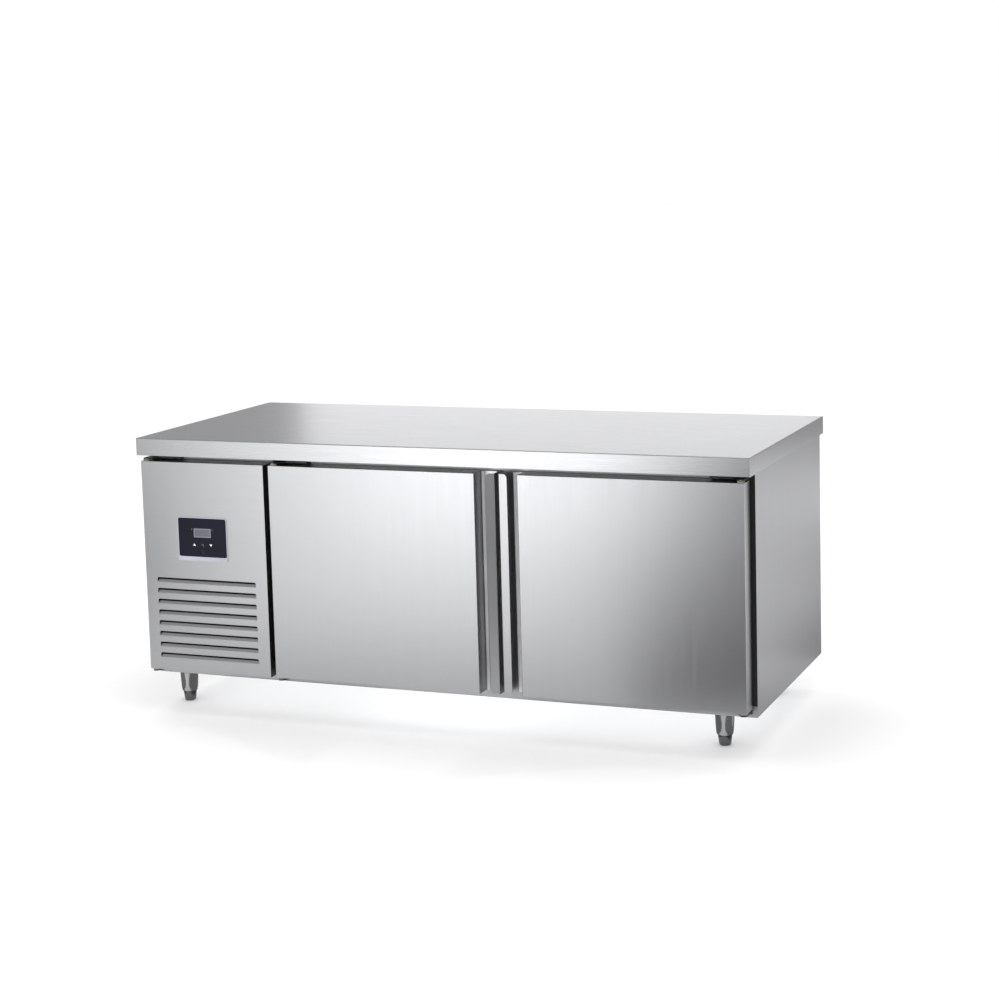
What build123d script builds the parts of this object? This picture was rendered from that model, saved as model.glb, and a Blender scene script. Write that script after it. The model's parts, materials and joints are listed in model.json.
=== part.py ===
from build123d import *
import os

# Under counter fridge: stainless worktop refrigerator with a machine bay on the left and two
# insulated doors that meet at a pair of full-height folded pulls.
# Millimetres. +X is to the right seen from the front, the front faces -Y, +Z is up.
# The origin is on the floor, under the middle of the worktop.

# --- overall size ---
LENGTH = 1800.0
DEPTH = 800.0
HEIGHT = 800.0
WORKTOP_EDGE = 50.0
BASE_Z = 116.0

# --- sheet metal ---
SHEET = 1.2
WORKTOP_SHEET = 1.5
LINER_SHEET = 1.0

# --- cabinet body ---
HALF_BODY = 895.0
FACE_Y = -334.0
BACK_Y = 375.0
TOP_Z = HEIGHT - WORKTOP_EDGE
SIDE_FLANGE = 15.0
RAIL_HEIGHT = 59.0
RAIL_RETURN = 30.0
RIGHT_POST = 59.0
BULKHEAD_X = -500.0
INSIDE_FACE_Y = FACE_Y + SHEET
INSIDE_BACK_Y = BACK_Y - SHEET
INSIDE_BASE_Z = BASE_Z + SHEET
INSIDE_TOP_Z = TOP_Z - SHEET
CUT_PAST = 1.0
THROUGH_SHEET = SHEET + 2 * CUT_PAST
WORKTOP_CORNER = 3.0
WORKTOP_EDGE_RADIUS = 2.0
WORKTOP_LIP = 22.0

# --- rib and ventilation slots pressed into the back and base sheets ---
RIB_LENGTH = 1240.0
RIB_HEIGHT = 500.0
RIB_WIDTH = 6.0
RIB_CORNER = 30.0
RIB_PROUD = 1.5
VENT_FIELD_HEIGHTS = (340.0, 600.0)
VENT_COLUMN_PITCH = 150.0
VENT_ROW_PITCH = 22.0
VENT_ROWS = 8
VENT_LENGTH = 130.0
VENT_WIDTH = 8.0
BASE_VENT_Y = -150.0
BASE_VENT_LENGTH = 44.0
BASE_VENT_PITCH = 24.0
BASE_VENT_ROW_PITCH = 60.0
BASE_VENT_COLUMNS = 9

# --- storage space inside the liner ---
BAY_LEFT = -440.0
BAY_RIGHT = 835.0
BAY_BACK = 315.0
BAY_FLOOR = 176.0
BAY_CEILING = 690.0
MULLION_WIDTH = 102.0
MULLION_DEPTH = 60.0
LINER_COVE = 10.0
MULLION_CORNER = 3.0
FOAM_JOINT = 0.3

# --- doors ---
DOOR_FRONT_Y = -398.0
DOOR_THICK = 54.0
DOOR_BOTTOM = 130.0
DOOR_TOP = 734.0
DOOR_MEETING_X = 201.0
DOOR_OUTER = 682.0
DOOR_INNER = 6.75
PULL_WALL = 62.2
PULL_FLANGE = 23.7
PULL_FLANGE_DEPTH = 4.7
PULL_FOLD_DEPTH = 7.6
PULL_DEPTH = 48.0
PULL_CORNER = 13.0
PULL_FOLD_RADIUS = 1.3
PULL_SEAM_DEPTH = 14.0
PULL_CORNER_CUT = 11.0
DOOR_EDGE_RADIUS = 1.1
GASKET_INSET = 8.0
GASKET_WIDTH = 23.0
GASKET_THICK = 9.4
GASKET_ROOT_DEPTH = 2.5
GASKET_ROOT_INSET = 3.0
MACHINE_DOOR_LEFT = -887.0
MACHINE_DOOR_RIGHT = -497.0

# --- hinges ---
PIVOT_INSET = 12.0
PIVOT_DEPTH = 14.0
PIVOT_Y = DOOR_FRONT_Y + PIVOT_DEPTH
PIN_RADIUS = 4.0
BUSH_BORE = 4.05
BUSH_RADIUS = 7.0
BUSH_FLANGE_RADIUS = 10.0
BUSH_FLANGE = 3.6
BUSH_LENGTH = 18.0
BRACKET_LENGTH = 100.0
BRACKET_PLATE = 4.0
BRACKET_GAP = 4.0
BRACKET_LEG = 3.0
BRACKET_LEG_BELOW = 9.5
BRACKET_LEG_ABOVE = 7.5
BRACKET_ARM = 26.0
SCREW_SHANK = 2.0
SCREW_HEAD = 3.5
SCREW_HEAD_HEIGHT = 2.6
SCREW_HEAD_TAPER = 12.0
SCREW_NEAR = 30.0
SCREW_FAR = 76.0
SCREW_HOLE_LENGTH = 20.0
BRACKET_SHELF = 28.0
PIN_HEAD = 1.5
PIN_SHORT = 2.0
DOOR_MIDDLE_Z = (DOOR_BOTTOM + DOOR_TOP) / 2
# pivot x and the direction in which the door lies from it
HINGES = (
    (MACHINE_DOOR_LEFT + PIVOT_INSET, 1),
    (DOOR_MEETING_X - DOOR_OUTER + PIVOT_INSET, 1),
    (DOOR_MEETING_X + DOOR_OUTER - PIVOT_INSET, -1),
)

# --- louvres and controller on the machine door ---
MACHINE_DOOR_MIDDLE = (MACHINE_DOOR_LEFT + MACHINE_DOOR_RIGHT) / 2
LOUVRE_COUNT = 8
LOUVRE_WIDTH = 317.0
LOUVRE_HEIGHT = 14.2
LOUVRE_PITCH = 31.4
LOUVRE_TOP_Z = 399.5
LOUVRE_LIP = 10.0
FILTER_DEPTH = 18.0
FILTER_THICK = 5.0
FILTER_MARGIN = 12.0
FILTER_BAR = 6.0
FILTER_COLUMNS = 5
FILTER_ROWS = 4
FILTER_SHEET_DEPTH = 20.0
FILTER_SHEET = 1.0
CONTROLLER_X = -697.0
CONTROLLER_Z = 516.0
CONTROLLER_WIDTH = 159.0
CONTROLLER_HEIGHT = 126.0
CONTROLLER_STRIP = 12.5
BEZEL_PROUD = 2.0
HOUSING_DEPTH = 34.0
HOUSING_MARGIN = 7.0
FACE_MARGIN = 3.0
FACE_THICK = 1.6
FACE_CORNER = 4.0
FACE_SUNK = 0.2
DISPLAY_SUNK = 0.4
HOUSING_CLEARANCE = 0.3
HOUSING_CORNER = 5.0
DISPLAY_WIDTH = 55.0
DISPLAY_HEIGHT = 26.0
DISPLAY_Z = CONTROLLER_Z + 18.0
KEY_RADIUS = 6.0
KEY_GAP = 0.35
KEY_STEM = 3.2
KEY_TRAVEL_ROOM = 0.8
KEY_EDGE_RADIUS = 0.4
KEY_Z = CONTROLLER_Z - 16.0
KEY_SPACING = 26.5
POWER_KEY_Z = CONTROLLER_Z - 35.0
KEYS = (
    ("key_up", CONTROLLER_X - KEY_SPACING, KEY_Z),
    ("key_set", CONTROLLER_X, KEY_Z),
    ("key_down", CONTROLLER_X + KEY_SPACING, KEY_Z),
    ("key_power", CONTROLLER_X, POWER_KEY_Z),
)

# --- feet ---
FOOT_LEFT_X = -852.0
FOOT_RIGHT_X = 780.0
FOOT_FRONT_Y = -245.0
FOOT_BACK_Y = 290.0
SLEEVE_TOP_RADIUS = 26.5
SLEEVE_BOTTOM_RADIUS = 23.4
SLEEVE_LIP_RADIUS = 20.6
SLEEVE_BOTTOM_Z = 30.0
SLEEVE_TAPER_TOP_Z = 84.0
SLEEVE_FLANGE_RADIUS = 34.0
SLEEVE_FLANGE = 3.0
SLEEVE_BORE = 19.35
SLEEVE_LIP_HEIGHT = 7.0
ADJUSTER_RADIUS = 19.0
ADJUSTER_BOTTOM_RADIUS = 16.5
ADJUSTER_TOP_Z = 82.0
ADJUSTER_TAPER_TOP_Z = 24.0
ADJUSTER_FLOOR_INSET = 5.0
ADJUSTER_CHAMFER = 1.5
SPANNER_FLAT_DEPTH = 1.5
SPANNER_FLAT_LOW = 10.0
SPANNER_FLAT_HIGH = 22.0
FEET = (
    ("front_left", FOOT_LEFT_X, FOOT_FRONT_Y),
    ("front_right", FOOT_RIGHT_X, FOOT_FRONT_Y),
    ("back_left", FOOT_LEFT_X, FOOT_BACK_Y),
    ("back_right", FOOT_RIGHT_X, FOOT_BACK_Y),
)

# --- shelves and their supports ---
SHELF_Z = 400.0
SHELF_FRAME_RADIUS = 4.0
SHELF_WIRE_RADIUS = 2.5
SHELF_BEARER_RADIUS = 3.0
SHELF_FRONT_Y = -298.0
SHELF_BACK_Y = 298.0
SHELF_SIDE_GAP = 11.0
SHELF_CORNER = 16.0
SHELF_WIRE_COUNT = 20
SHELF_WIRE_RISE = 0.5
SHELF_BEARER_RISE = 1.5
SHELF_BEARER_PITCH = 200.0
STRIP_WIDTH = 14.0
STRIP_DEPTH = 7.0
STRIP_BOTTOM = 215.0
STRIP_TOP = 645.0
STRIP_SLOT_PITCH = 25.0
STRIP_SLOT_COUNT = 16
STRIP_SLOT_WIDTH = 4.0
STRIP_SLOT_HEIGHT = 12.0
FRONT_STRIP_Y = -255.0
BACK_STRIP_INSET = 60.0
CLIP_HEIGHT = 9.0
CLIP_REACH = 10.0
CLIP_GAP = 0.4
CLIP_OVERHANG = 4.0
CLIP_CORNER = 2.0
BAYS = (
    ("left", BAY_LEFT, DOOR_MEETING_X - MULLION_WIDTH / 2),
    ("right", DOOR_MEETING_X + MULLION_WIDTH / 2, BAY_RIGHT),
)

# --- refrigeration in the machine bay ---
CONDENSER_X = -700.0
CONDENSER_Z = 300.0
CONDENSER_WIDTH = 290.0
CONDENSER_HEIGHT = 270.0
CONDENSER_FRONT_Y = -320.0
CONDENSER_DEPTH = 55.0
CONDENSER_LEFT = CONDENSER_X - CONDENSER_WIDTH / 2
CONDENSER_RIGHT = CONDENSER_X + CONDENSER_WIDTH / 2
CONDENSER_BOTTOM = CONDENSER_Z - CONDENSER_HEIGHT / 2
CONDENSER_TOP = CONDENSER_Z + CONDENSER_HEIGHT / 2
CONDENSER_BACK_Y = CONDENSER_FRONT_Y + CONDENSER_DEPTH
COIL_ROWS = 5
COIL_PLATE = 1.5
COIL_FIN_INSET = 3.0
COIL_END_INSET = 2.0
BEND_INSET = 15.0
BEND_RADIUS = 4.8
BEND_REACH = 14.0
BEND_START = 6.0
BEND_HALF = 4.0
SHROUD_DEPTH = 34.0
SHROUD_LEG = 20.0
FAN_PLANE_Y = CONDENSER_BACK_Y + SHROUD_DEPTH
CONDENSER_FAN_RADIUS = 112.0
CONDENSER_HUB_RADIUS = 24.0
CONDENSER_BLADE_WIDTH = 44.0
CONDENSER_FAN_FORWARD = 4.0
FAN_CLEARANCE = 6.0
BLADE_COUNT = 5
BLADE_THICK = 1.6
BLADE_TILT = 28.0
BLADE_ROOT = 10.0
BLADE_SHIFT = 2.0
HUB_DEPTH = 16.0
HUB_CAP_INSET = 5.0
HUB_CAP = 4.0
MOTOR_BEHIND_FAN = 30.0
MOTOR_RADIUS = 38.0
MOTOR_LENGTH = 58.0
MOTOR_EDGE_RADIUS = 4.0
ROD_RADIUS = 3.0
ROD_BEND = 8.0
ROD_BEHIND = 12.0
ROD_NEAR = 24.0
ROD_RING = CONDENSER_FAN_RADIUS + FAN_CLEARANCE + 6.0
DIAGONAL = 0.7071
COMPRESSOR_X = -700.0
COMPRESSOR_Y = 90.0
COMPRESSOR_RADIUS = 88.0
COMPRESSOR_HEIGHT = 190.0
COMPRESSOR_FOOT_Z = INSIDE_BASE_Z + 16.0
POT_RISE = 8.0
POT_TOP_RADIUS = 50.0
POT_BOTTOM_RADIUS = 30.0
POT_SEAM_SHARE = 0.45
POT_SEAM_WIDTH = 8.0
POT_SEAM_PROUD = 4.0
POT_STEM_RADIUS = 56.0
POT_STEM_INSIDE = 12.0
POT_PLATE_LENGTH = 220.0
POT_PLATE_WIDTH = 150.0
POT_PLATE_CORNER = 14.0
POT_PLATE = 3.0
MOUNT_SPACING_X = 180.0
MOUNT_SPACING_Y = 110.0
MOUNT_HOLE_RADIUS = 6.0
MOUNT_NECK_RADIUS = 5.9
MOUNT_RADIUS = 12.0
MOUNT_CAP_RADIUS = 10.0
MOUNT_CAP = 4.0
TERMINAL_INSIDE = 10.0
TERMINAL_REACH = 34.0
TERMINAL_HALF_WIDTH = 35.0
TERMINAL_BOTTOM = 70.0
TERMINAL_TOP = 5.0
PIPE_RADIUS = 4.0
CONDENSER_PIPE_Y = CONDENSER_FRONT_Y + 28.0
CONDENSER_PIPE_Z = CONDENSER_TOP + 1.0
DISCHARGE_X = COMPRESSOR_X - COMPRESSOR_RADIUS + 12.0
DISCHARGE_Y = COMPRESSOR_Y - 30.0
DISCHARGE_START_Z = 318.0
DISCHARGE_TOP_Z = 470.0
LIQUID_X = -600.0
LIQUID_Y = -60.0
LIQUID_Z = 520.0
SUCTION_X = COMPRESSOR_X + 40.0
SUCTION_Y = COMPRESSOR_Y + 20.0
SUCTION_START_Z = 332.0
SUCTION_TOP_Z = 560.0
PIPE_END_X = BULKHEAD_X - 0.2
DRIER_Y = -170.0
DRIER_RADIUS = 11.0
DRIER_LENGTH = 110.0
PAN_HALF_LENGTH = 135.0
PAN_WIDTH = 80.0
PAN_HEIGHT = 34.0
PAN_WALL = 2.0
PAN_CORNER = 8.0
ELECTRICAL_BOX_DEPTH = 60.0
ELECTRICAL_BOX_FRONT_Y = 180.0
ELECTRICAL_BOX_BACK_Y = 340.0
ELECTRICAL_BOX_BOTTOM = 560.0
ELECTRICAL_BOX_TOP = 690.0
ELECTRICAL_BOX_CORNER = 6.0
ELECTRICAL_LID = 4.0
GLAND_X = -850.0
GLAND_Z = 190.0
GLAND_THREAD = 8.0
GLAND_HEX_RADIUS = 13.0
GLAND_HEX = 6.0
GLAND_DOME_RADIUS = 11.0
GLAND_DOME = 12.0
GLAND_DOME_TAPER = 12.0
GLAND_INSIDE = 10.0
GLAND_BORE = 4.0

# --- evaporator inside the left bay ---
EVAPORATOR_DEPTH = 138.0
EVAPORATOR_FRONT_Y = -150.0
EVAPORATOR_BACK_Y = 250.0
EVAPORATOR_BOTTOM = 452.0
EVAPORATOR_FAN_RADIUS = 72.0
EVAPORATOR_FAN_Y = 50.0
EVAPORATOR_FAN_Z = (EVAPORATOR_BOTTOM + BAY_CEILING) / 2
EVAPORATOR_HUB_RADIUS = 18.0
EVAPORATOR_BLADE_WIDTH = 24.0
EVAPORATOR_HUB_X = BAY_LEFT + 118.0
GUARD_RINGS = (20.0, 38.0, 56.0)
GUARD_HALF_WIRE = 1.2
GUARD_SPOKES = 4
INTAKE_SLOTS = 12
INTAKE_PITCH = 24.0
INTAKE_LENGTH = 90.0
INTAKE_WIDTH = 8.0
FIN_BLOCK_LEFT = BAY_LEFT + 8.0
FIN_BLOCK_RIGHT = BAY_LEFT + 56.0
FIN_BLOCK_INSET = 20.0
FIN_BLOCK_HEIGHT_INSET = 30.0
FIN_PLATE = 2.0
FIN_PLATE_RIGHT = BAY_LEFT + 60.0
FIN_PLATE_HEIGHT_INSET = 26.0
EVAPORATOR_MOTOR_X = BAY_LEFT + 68.0
EVAPORATOR_MOTOR_RADIUS = 26.0
EVAPORATOR_MOTOR_LENGTH = 34.0
MOTOR_BAR_LEFT = BAY_LEFT + 66.0
MOTOR_BAR_RIGHT = BAY_LEFT + 68.5
MOTOR_BAR_HALF_HEIGHT = 12.0


def block(x_range, y_range, z_range, mode=Mode.ADD):
    """Adds a box between the given limits to the part being built."""
    middle = tuple((low + high) / 2 for low, high in (x_range, y_range, z_range))
    size = [abs(high - low) for low, high in (x_range, y_range, z_range)]
    with Locations(middle):
        Box(*size, mode=mode)


def save(piece, name):
    """Labels a finished piece and writes its STEP file."""
    piece.part.label = name
    export_step(piece.part, f"parts/{name}.step")


def door_x(side, distance):
    """X of a point on a storage door, given its distance from the line where the doors meet."""
    return DOOR_MEETING_X + side * distance


def door_y(depth):
    """Y of a point on a door, given its depth behind the front."""
    return DOOR_FRONT_Y + depth


def upright_cylinder(x, y, z_low, z_high, radius, mode=Mode.ADD):
    """Adds a vertical cylinder between two heights."""
    with Locations((x, y, (z_low + z_high) / 2)):
        Cylinder(radius, z_high - z_low, mode=mode)


# ---------------------------------------------------------------- worktop
def worktop_skin():
    with BuildPart() as skin:
        block((-LENGTH / 2, LENGTH / 2), (-DEPTH / 2, DEPTH / 2), (TOP_Z, HEIGHT))
        fillet(skin.edges().filter_by(Axis.Z), radius=WORKTOP_CORNER)
        fillet(skin.faces().sort_by(Axis.Z)[-1].edges(), radius=WORKTOP_EDGE_RADIUS)
        inner_x = LENGTH / 2 - WORKTOP_SHEET
        inner_y = DEPTH / 2 - WORKTOP_SHEET
        block(
            (-inner_x, inner_x),
            (-inner_y, inner_y),
            (TOP_Z + WORKTOP_SHEET, HEIGHT - WORKTOP_SHEET),
            Mode.SUBTRACT,
        )
        lip_x = LENGTH / 2 - WORKTOP_LIP
        lip_y = DEPTH / 2 - WORKTOP_LIP
        block((-lip_x, lip_x), (-lip_y, lip_y), (TOP_Z, TOP_Z + WORKTOP_SHEET), Mode.SUBTRACT)
    return skin


def worktop_core():
    with BuildPart() as core:
        core_x = LENGTH / 2 - WORKTOP_SHEET
        core_y = DEPTH / 2 - WORKTOP_SHEET
        block((-core_x, core_x), (-core_y, core_y), (TOP_Z + WORKTOP_SHEET, HEIGHT - WORKTOP_SHEET))
    return core


# ---------------------------------------------------------------- cabinet sheet metal
def side_panel(side, front_flange):
    """Outer side sheet with returns all round; the front return is the door post."""
    with BuildPart() as panel:
        outer = side * HALF_BODY
        flange_edge = side * (HALF_BODY - SIDE_FLANGE)
        block((flange_edge, outer), (FACE_Y, BACK_Y), (BASE_Z, TOP_Z))
        block(
            (flange_edge, side * (HALF_BODY - SHEET)),
            (INSIDE_FACE_Y, INSIDE_BACK_Y),
            (INSIDE_BASE_Z, INSIDE_TOP_Z),
            Mode.SUBTRACT,
        )
        if front_flange > SIDE_FLANGE:
            post_edge = side * (HALF_BODY - front_flange)
            block((post_edge, flange_edge), (FACE_Y, INSIDE_FACE_Y), (BASE_Z, TOP_Z))
            screw_holes(1)
            screw_holes(-1)
    return panel


def back_panel():
    with BuildPart() as panel:
        block((BULKHEAD_X, HALF_BODY - SIDE_FLANGE), (INSIDE_BACK_Y, BACK_Y), (BASE_Z, TOP_Z))
        # pressed stiffening rib, a rounded frame
        rib_x = (BULKHEAD_X + HALF_BODY - SIDE_FLANGE) / 2
        inner_length = RIB_LENGTH - 2 * RIB_WIDTH
        inner_height = RIB_HEIGHT - 2 * RIB_WIDTH
        with BuildSketch(Plane.XZ.offset(-BACK_Y)):
            with Locations((rib_x, (BASE_Z + TOP_Z) / 2)):
                RectangleRounded(RIB_LENGTH, RIB_HEIGHT, RIB_CORNER)
                RectangleRounded(inner_length, inner_height, RIB_CORNER - RIB_WIDTH, mode=Mode.SUBTRACT)
        extrude(amount=-RIB_PROUD)
    return panel


def rear_cover():
    """Ventilated rear cover of the machine bay, with the hole for the cable gland."""
    with BuildPart() as cover:
        block((-(HALF_BODY - SIDE_FLANGE), BULKHEAD_X), (INSIDE_BACK_Y, BACK_Y), (BASE_Z, TOP_Z))
        cover_x = (BULKHEAD_X - HALF_BODY + SIDE_FLANGE) / 2
        with BuildSketch(Plane.XZ.offset(-BACK_Y - CUT_PAST)):
            with Locations(*[(cover_x, field_z) for field_z in VENT_FIELD_HEIGHTS]):
                with GridLocations(VENT_COLUMN_PITCH, VENT_ROW_PITCH, 2, VENT_ROWS):
                    SlotOverall(VENT_LENGTH, VENT_WIDTH)
            with Locations((GLAND_X, GLAND_Z)):
                Circle(GLAND_THREAD)
        extrude(amount=THROUGH_SHEET, mode=Mode.SUBTRACT)
    return cover


def base_pan():
    with BuildPart() as pan:
        edge = HALF_BODY - SIDE_FLANGE
        block((-edge, edge), (FACE_Y + RAIL_RETURN, INSIDE_BACK_Y), (BASE_Z, INSIDE_BASE_Z))
        with BuildSketch(Plane.XY.offset(BASE_Z - CUT_PAST)):
            with Locations((COMPRESSOR_X, BASE_VENT_Y)):
                with GridLocations(BASE_VENT_PITCH, BASE_VENT_ROW_PITCH, BASE_VENT_COLUMNS, 2):
                    SlotOverall(BASE_VENT_LENGTH, VENT_WIDTH, rotation=90)
        extrude(amount=THROUGH_SHEET, mode=Mode.SUBTRACT)
    return pan


def bulkhead_panel():
    """Sheet between the machine bay and the insulation, folded round to a front post."""
    with BuildPart() as panel:
        block((BULKHEAD_X, BULKHEAD_X + SHEET), (INSIDE_FACE_Y, INSIDE_BACK_Y), (INSIDE_BASE_Z, INSIDE_TOP_Z))
        block(
            (BULKHEAD_X, BAY_LEFT - LINER_SHEET),
            (FACE_Y, INSIDE_FACE_Y),
            (BASE_Z + RAIL_HEIGHT, TOP_Z - RAIL_HEIGHT),
        )
    return panel


def screw_holes(flip):
    """Cuts the hinge screw holes of one rail through the part being built."""
    for pivot_x, direction in HINGES:
        for screw_x in screw_positions(pivot_x, direction):
            with Locations(Location((screw_x, FACE_Y, screw_height(flip)), (90, 0, 0))):
                Cylinder(SCREW_SHANK, SCREW_HOLE_LENGTH, mode=Mode.SUBTRACT)


def screw_positions(pivot_x, direction):
    return (pivot_x + direction * SCREW_NEAR, pivot_x + direction * SCREW_FAR)


def screw_height(flip):
    """Height of the hinge screws: the bottom brackets mirror the top ones."""
    above_middle = DOOR_TOP - DOOR_MIDDLE_Z + BRACKET_GAP - BRACKET_LEG_BELOW / 2
    return DOOR_MIDDLE_Z + flip * above_middle


def front_rail(flip):
    """Rail over (flip 1) or under (flip -1) the door openings, folded back at its outer edge."""
    with BuildPart() as rail:
        left = -(HALF_BODY - SIDE_FLANGE)
        right = HALF_BODY - RIGHT_POST
        if flip > 0:
            outer_z = TOP_Z
        else:
            outer_z = BASE_Z
        block((left, right), (FACE_Y, INSIDE_FACE_Y), (outer_z - flip * RAIL_HEIGHT, outer_z))
        block((left, right), (FACE_Y, FACE_Y + RAIL_RETURN), (outer_z - flip * SHEET, outer_z))
        screw_holes(flip)
    return rail


def centre_mullion():
    with BuildPart() as mullion:
        x_low = DOOR_MEETING_X - MULLION_WIDTH / 2
        x_high = DOOR_MEETING_X + MULLION_WIDTH / 2
        block((x_low, x_high), (FACE_Y, FACE_Y + MULLION_DEPTH), (BAY_FLOOR, BAY_CEILING))
        fillet(mullion.edges().filter_by(Axis.Z).group_by(Axis.Y)[-1], radius=MULLION_CORNER)
        block(
            (x_low + SHEET, x_high - SHEET),
            (INSIDE_FACE_Y, FACE_Y + MULLION_DEPTH - SHEET),
            (BAY_FLOOR, BAY_CEILING),
            Mode.SUBTRACT,
        )
    return mullion


# ---------------------------------------------------------------- insulation and liner
def cabinet_insulation():
    """Foam slabs: floor, ceiling, back, right wall, bulkhead and the core of the mullion."""
    x_low = BULKHEAD_X + SHEET
    x_high = HALF_BODY - SHEET
    floor_z = BAY_FLOOR - LINER_SHEET
    ceiling_z = BAY_CEILING + LINER_SHEET
    back_y = BAY_BACK + LINER_SHEET
    mullion_low = DOOR_MEETING_X - MULLION_WIDTH / 2 + SHEET
    mullion_high = DOOR_MEETING_X + MULLION_WIDTH / 2 - SHEET
    wall_z = (floor_z + FOAM_JOINT, ceiling_z - FOAM_JOINT)
    wall_y = (INSIDE_FACE_Y, back_y - FOAM_JOINT)
    with BuildPart() as foam:
        block((x_low, x_high), (INSIDE_FACE_Y, INSIDE_BACK_Y), (INSIDE_BASE_Z, floor_z))
        block((x_low, x_high), (INSIDE_FACE_Y, INSIDE_BACK_Y), (ceiling_z, INSIDE_TOP_Z))
        block((x_low, x_high), (back_y, INSIDE_BACK_Y), wall_z)
        block((BAY_RIGHT + LINER_SHEET, x_high), wall_y, wall_z)
        block((x_low, BAY_LEFT - LINER_SHEET), wall_y, wall_z)
        block(
            (mullion_low, mullion_high),
            (INSIDE_FACE_Y, FACE_Y + MULLION_DEPTH - SHEET),
            (BAY_FLOOR, BAY_CEILING),
        )
    return foam


def inner_liner():
    """Stainless inner box, open at the front, with coved corners."""
    with BuildPart() as liner:
        block(
            (BAY_LEFT - LINER_SHEET, BAY_RIGHT + LINER_SHEET),
            (INSIDE_FACE_Y, BAY_BACK + LINER_SHEET),
            (BAY_FLOOR - LINER_SHEET, BAY_CEILING + LINER_SHEET),
        )
        with BuildSketch(Plane.XZ.offset(-INSIDE_FACE_Y)):
            with Locations(((BAY_LEFT + BAY_RIGHT) / 2, (BAY_FLOOR + BAY_CEILING) / 2)):
                RectangleRounded(BAY_RIGHT - BAY_LEFT, BAY_CEILING - BAY_FLOOR, LINER_COVE)
        extrude(amount=-(BAY_BACK - INSIDE_FACE_Y), mode=Mode.SUBTRACT)
    return liner


# ---------------------------------------------------------------- shelves
def strip_places():
    """Each shelf strip as (x, y, turn about Z); an unturned strip stands on the back wall."""
    places = []
    for _, x_low, x_high in BAYS:
        places.append((x_low + BACK_STRIP_INSET, BAY_BACK, 0))
        places.append((x_high - BACK_STRIP_INSET, BAY_BACK, 0))
        places.append((x_low, FRONT_STRIP_Y, 90))
        places.append((x_high, FRONT_STRIP_Y, -90))
    return places


def shelf_strips():
    with BuildPart() as strips:
        for x, y, turn in strip_places():
            wall = Plane(Location((x, y, (STRIP_BOTTOM + STRIP_TOP) / 2), (0, 0, turn)))
            with BuildSketch(Plane(wall.origin, x_dir=wall.x_dir, z_dir=-wall.y_dir)):
                Rectangle(STRIP_WIDTH, STRIP_TOP - STRIP_BOTTOM)
                with GridLocations(0, STRIP_SLOT_PITCH, 1, STRIP_SLOT_COUNT):
                    Rectangle(STRIP_SLOT_WIDTH, STRIP_SLOT_HEIGHT, mode=Mode.SUBTRACT)
            extrude(amount=STRIP_DEPTH)
    return strips


def shelf_clips():
    """One clip on each strip, hooked through a slot, carrying the shelf's frame wire."""
    clip_top = SHELF_Z - CLIP_GAP
    with BuildPart() as clips:
        for x, y, turn in strip_places():
            corner = Plane(Location((x, y, clip_top - CLIP_HEIGHT), (0, 0, turn)))
            with BuildSketch(corner):
                with Locations((0, -STRIP_DEPTH - CLIP_REACH / 2)):
                    RectangleRounded(STRIP_WIDTH + CLIP_OVERHANG, CLIP_REACH, CLIP_CORNER)
            extrude(amount=CLIP_HEIGHT)
    return clips


def shelf(x_low, x_high):
    """Wire shelf: a closed frame wire, bearers from side to side, and closely spaced wires on top."""
    left = x_low + SHELF_SIDE_GAP
    right = x_high - SHELF_SIDE_GAP
    frame_z = SHELF_Z + SHELF_FRAME_RADIUS
    wire_z = frame_z + SHELF_FRAME_RADIUS + SHELF_WIRE_RISE
    middle_x = (left + right) / 2
    wire_pitch = (right - left) / (SHELF_WIRE_COUNT + 1)
    across = Plane(origin=(middle_x, SHELF_FRONT_Y, wire_z), x_dir=(1, 0, 0), z_dir=(0, 1, 0))
    along = Plane(origin=(left, 0, frame_z + SHELF_BEARER_RISE), x_dir=(0, 1, 0), z_dir=(1, 0, 0))
    with BuildPart() as rack:
        with BuildLine() as frame_path:
            FilletPolyline(
                (left, SHELF_FRONT_Y, frame_z),
                (right, SHELF_FRONT_Y, frame_z),
                (right, SHELF_BACK_Y, frame_z),
                (left, SHELF_BACK_Y, frame_z),
                radius=SHELF_CORNER,
                close=True,
            )
        frame_wire = frame_path.wires()[0]
        with BuildSketch(Plane(origin=frame_wire @ 0, z_dir=frame_wire % 0)):
            Circle(SHELF_FRAME_RADIUS)
        sweep(path=frame_wire)
        with BuildSketch(across):
            with GridLocations(wire_pitch, 1, SHELF_WIRE_COUNT, 1):
                Circle(SHELF_WIRE_RADIUS)
        extrude(amount=SHELF_BACK_Y - SHELF_FRONT_Y)
        with BuildSketch(along):
            with GridLocations(SHELF_BEARER_PITCH, 1, 2, 1):
                Circle(SHELF_BEARER_RADIUS)
        extrude(amount=right - left)
    return rack


# ---------------------------------------------------------------- feet
def foot_sleeves():
    with BuildPart() as sleeves:
        for _, x, y in FEET:
            with BuildSketch(Plane(origin=(x, y, 0), x_dir=(1, 0, 0), z_dir=(0, -1, 0))):
                with BuildLine():
                    Polyline(
                        (SLEEVE_BORE, BASE_Z),
                        (SLEEVE_BORE, SLEEVE_BOTTOM_Z),
                        (SLEEVE_LIP_RADIUS, SLEEVE_BOTTOM_Z),
                        (SLEEVE_BOTTOM_RADIUS, SLEEVE_BOTTOM_Z + SLEEVE_LIP_HEIGHT),
                        (SLEEVE_TOP_RADIUS, SLEEVE_TAPER_TOP_Z),
                        (SLEEVE_TOP_RADIUS, BASE_Z - SLEEVE_FLANGE),
                        (SLEEVE_FLANGE_RADIUS, BASE_Z - SLEEVE_FLANGE),
                        (SLEEVE_FLANGE_RADIUS, BASE_Z),
                        close=True,
                    )
                make_face()
            revolve(axis=Axis((x, y, 0), (0, 0, 1)))
    return sleeves


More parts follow.
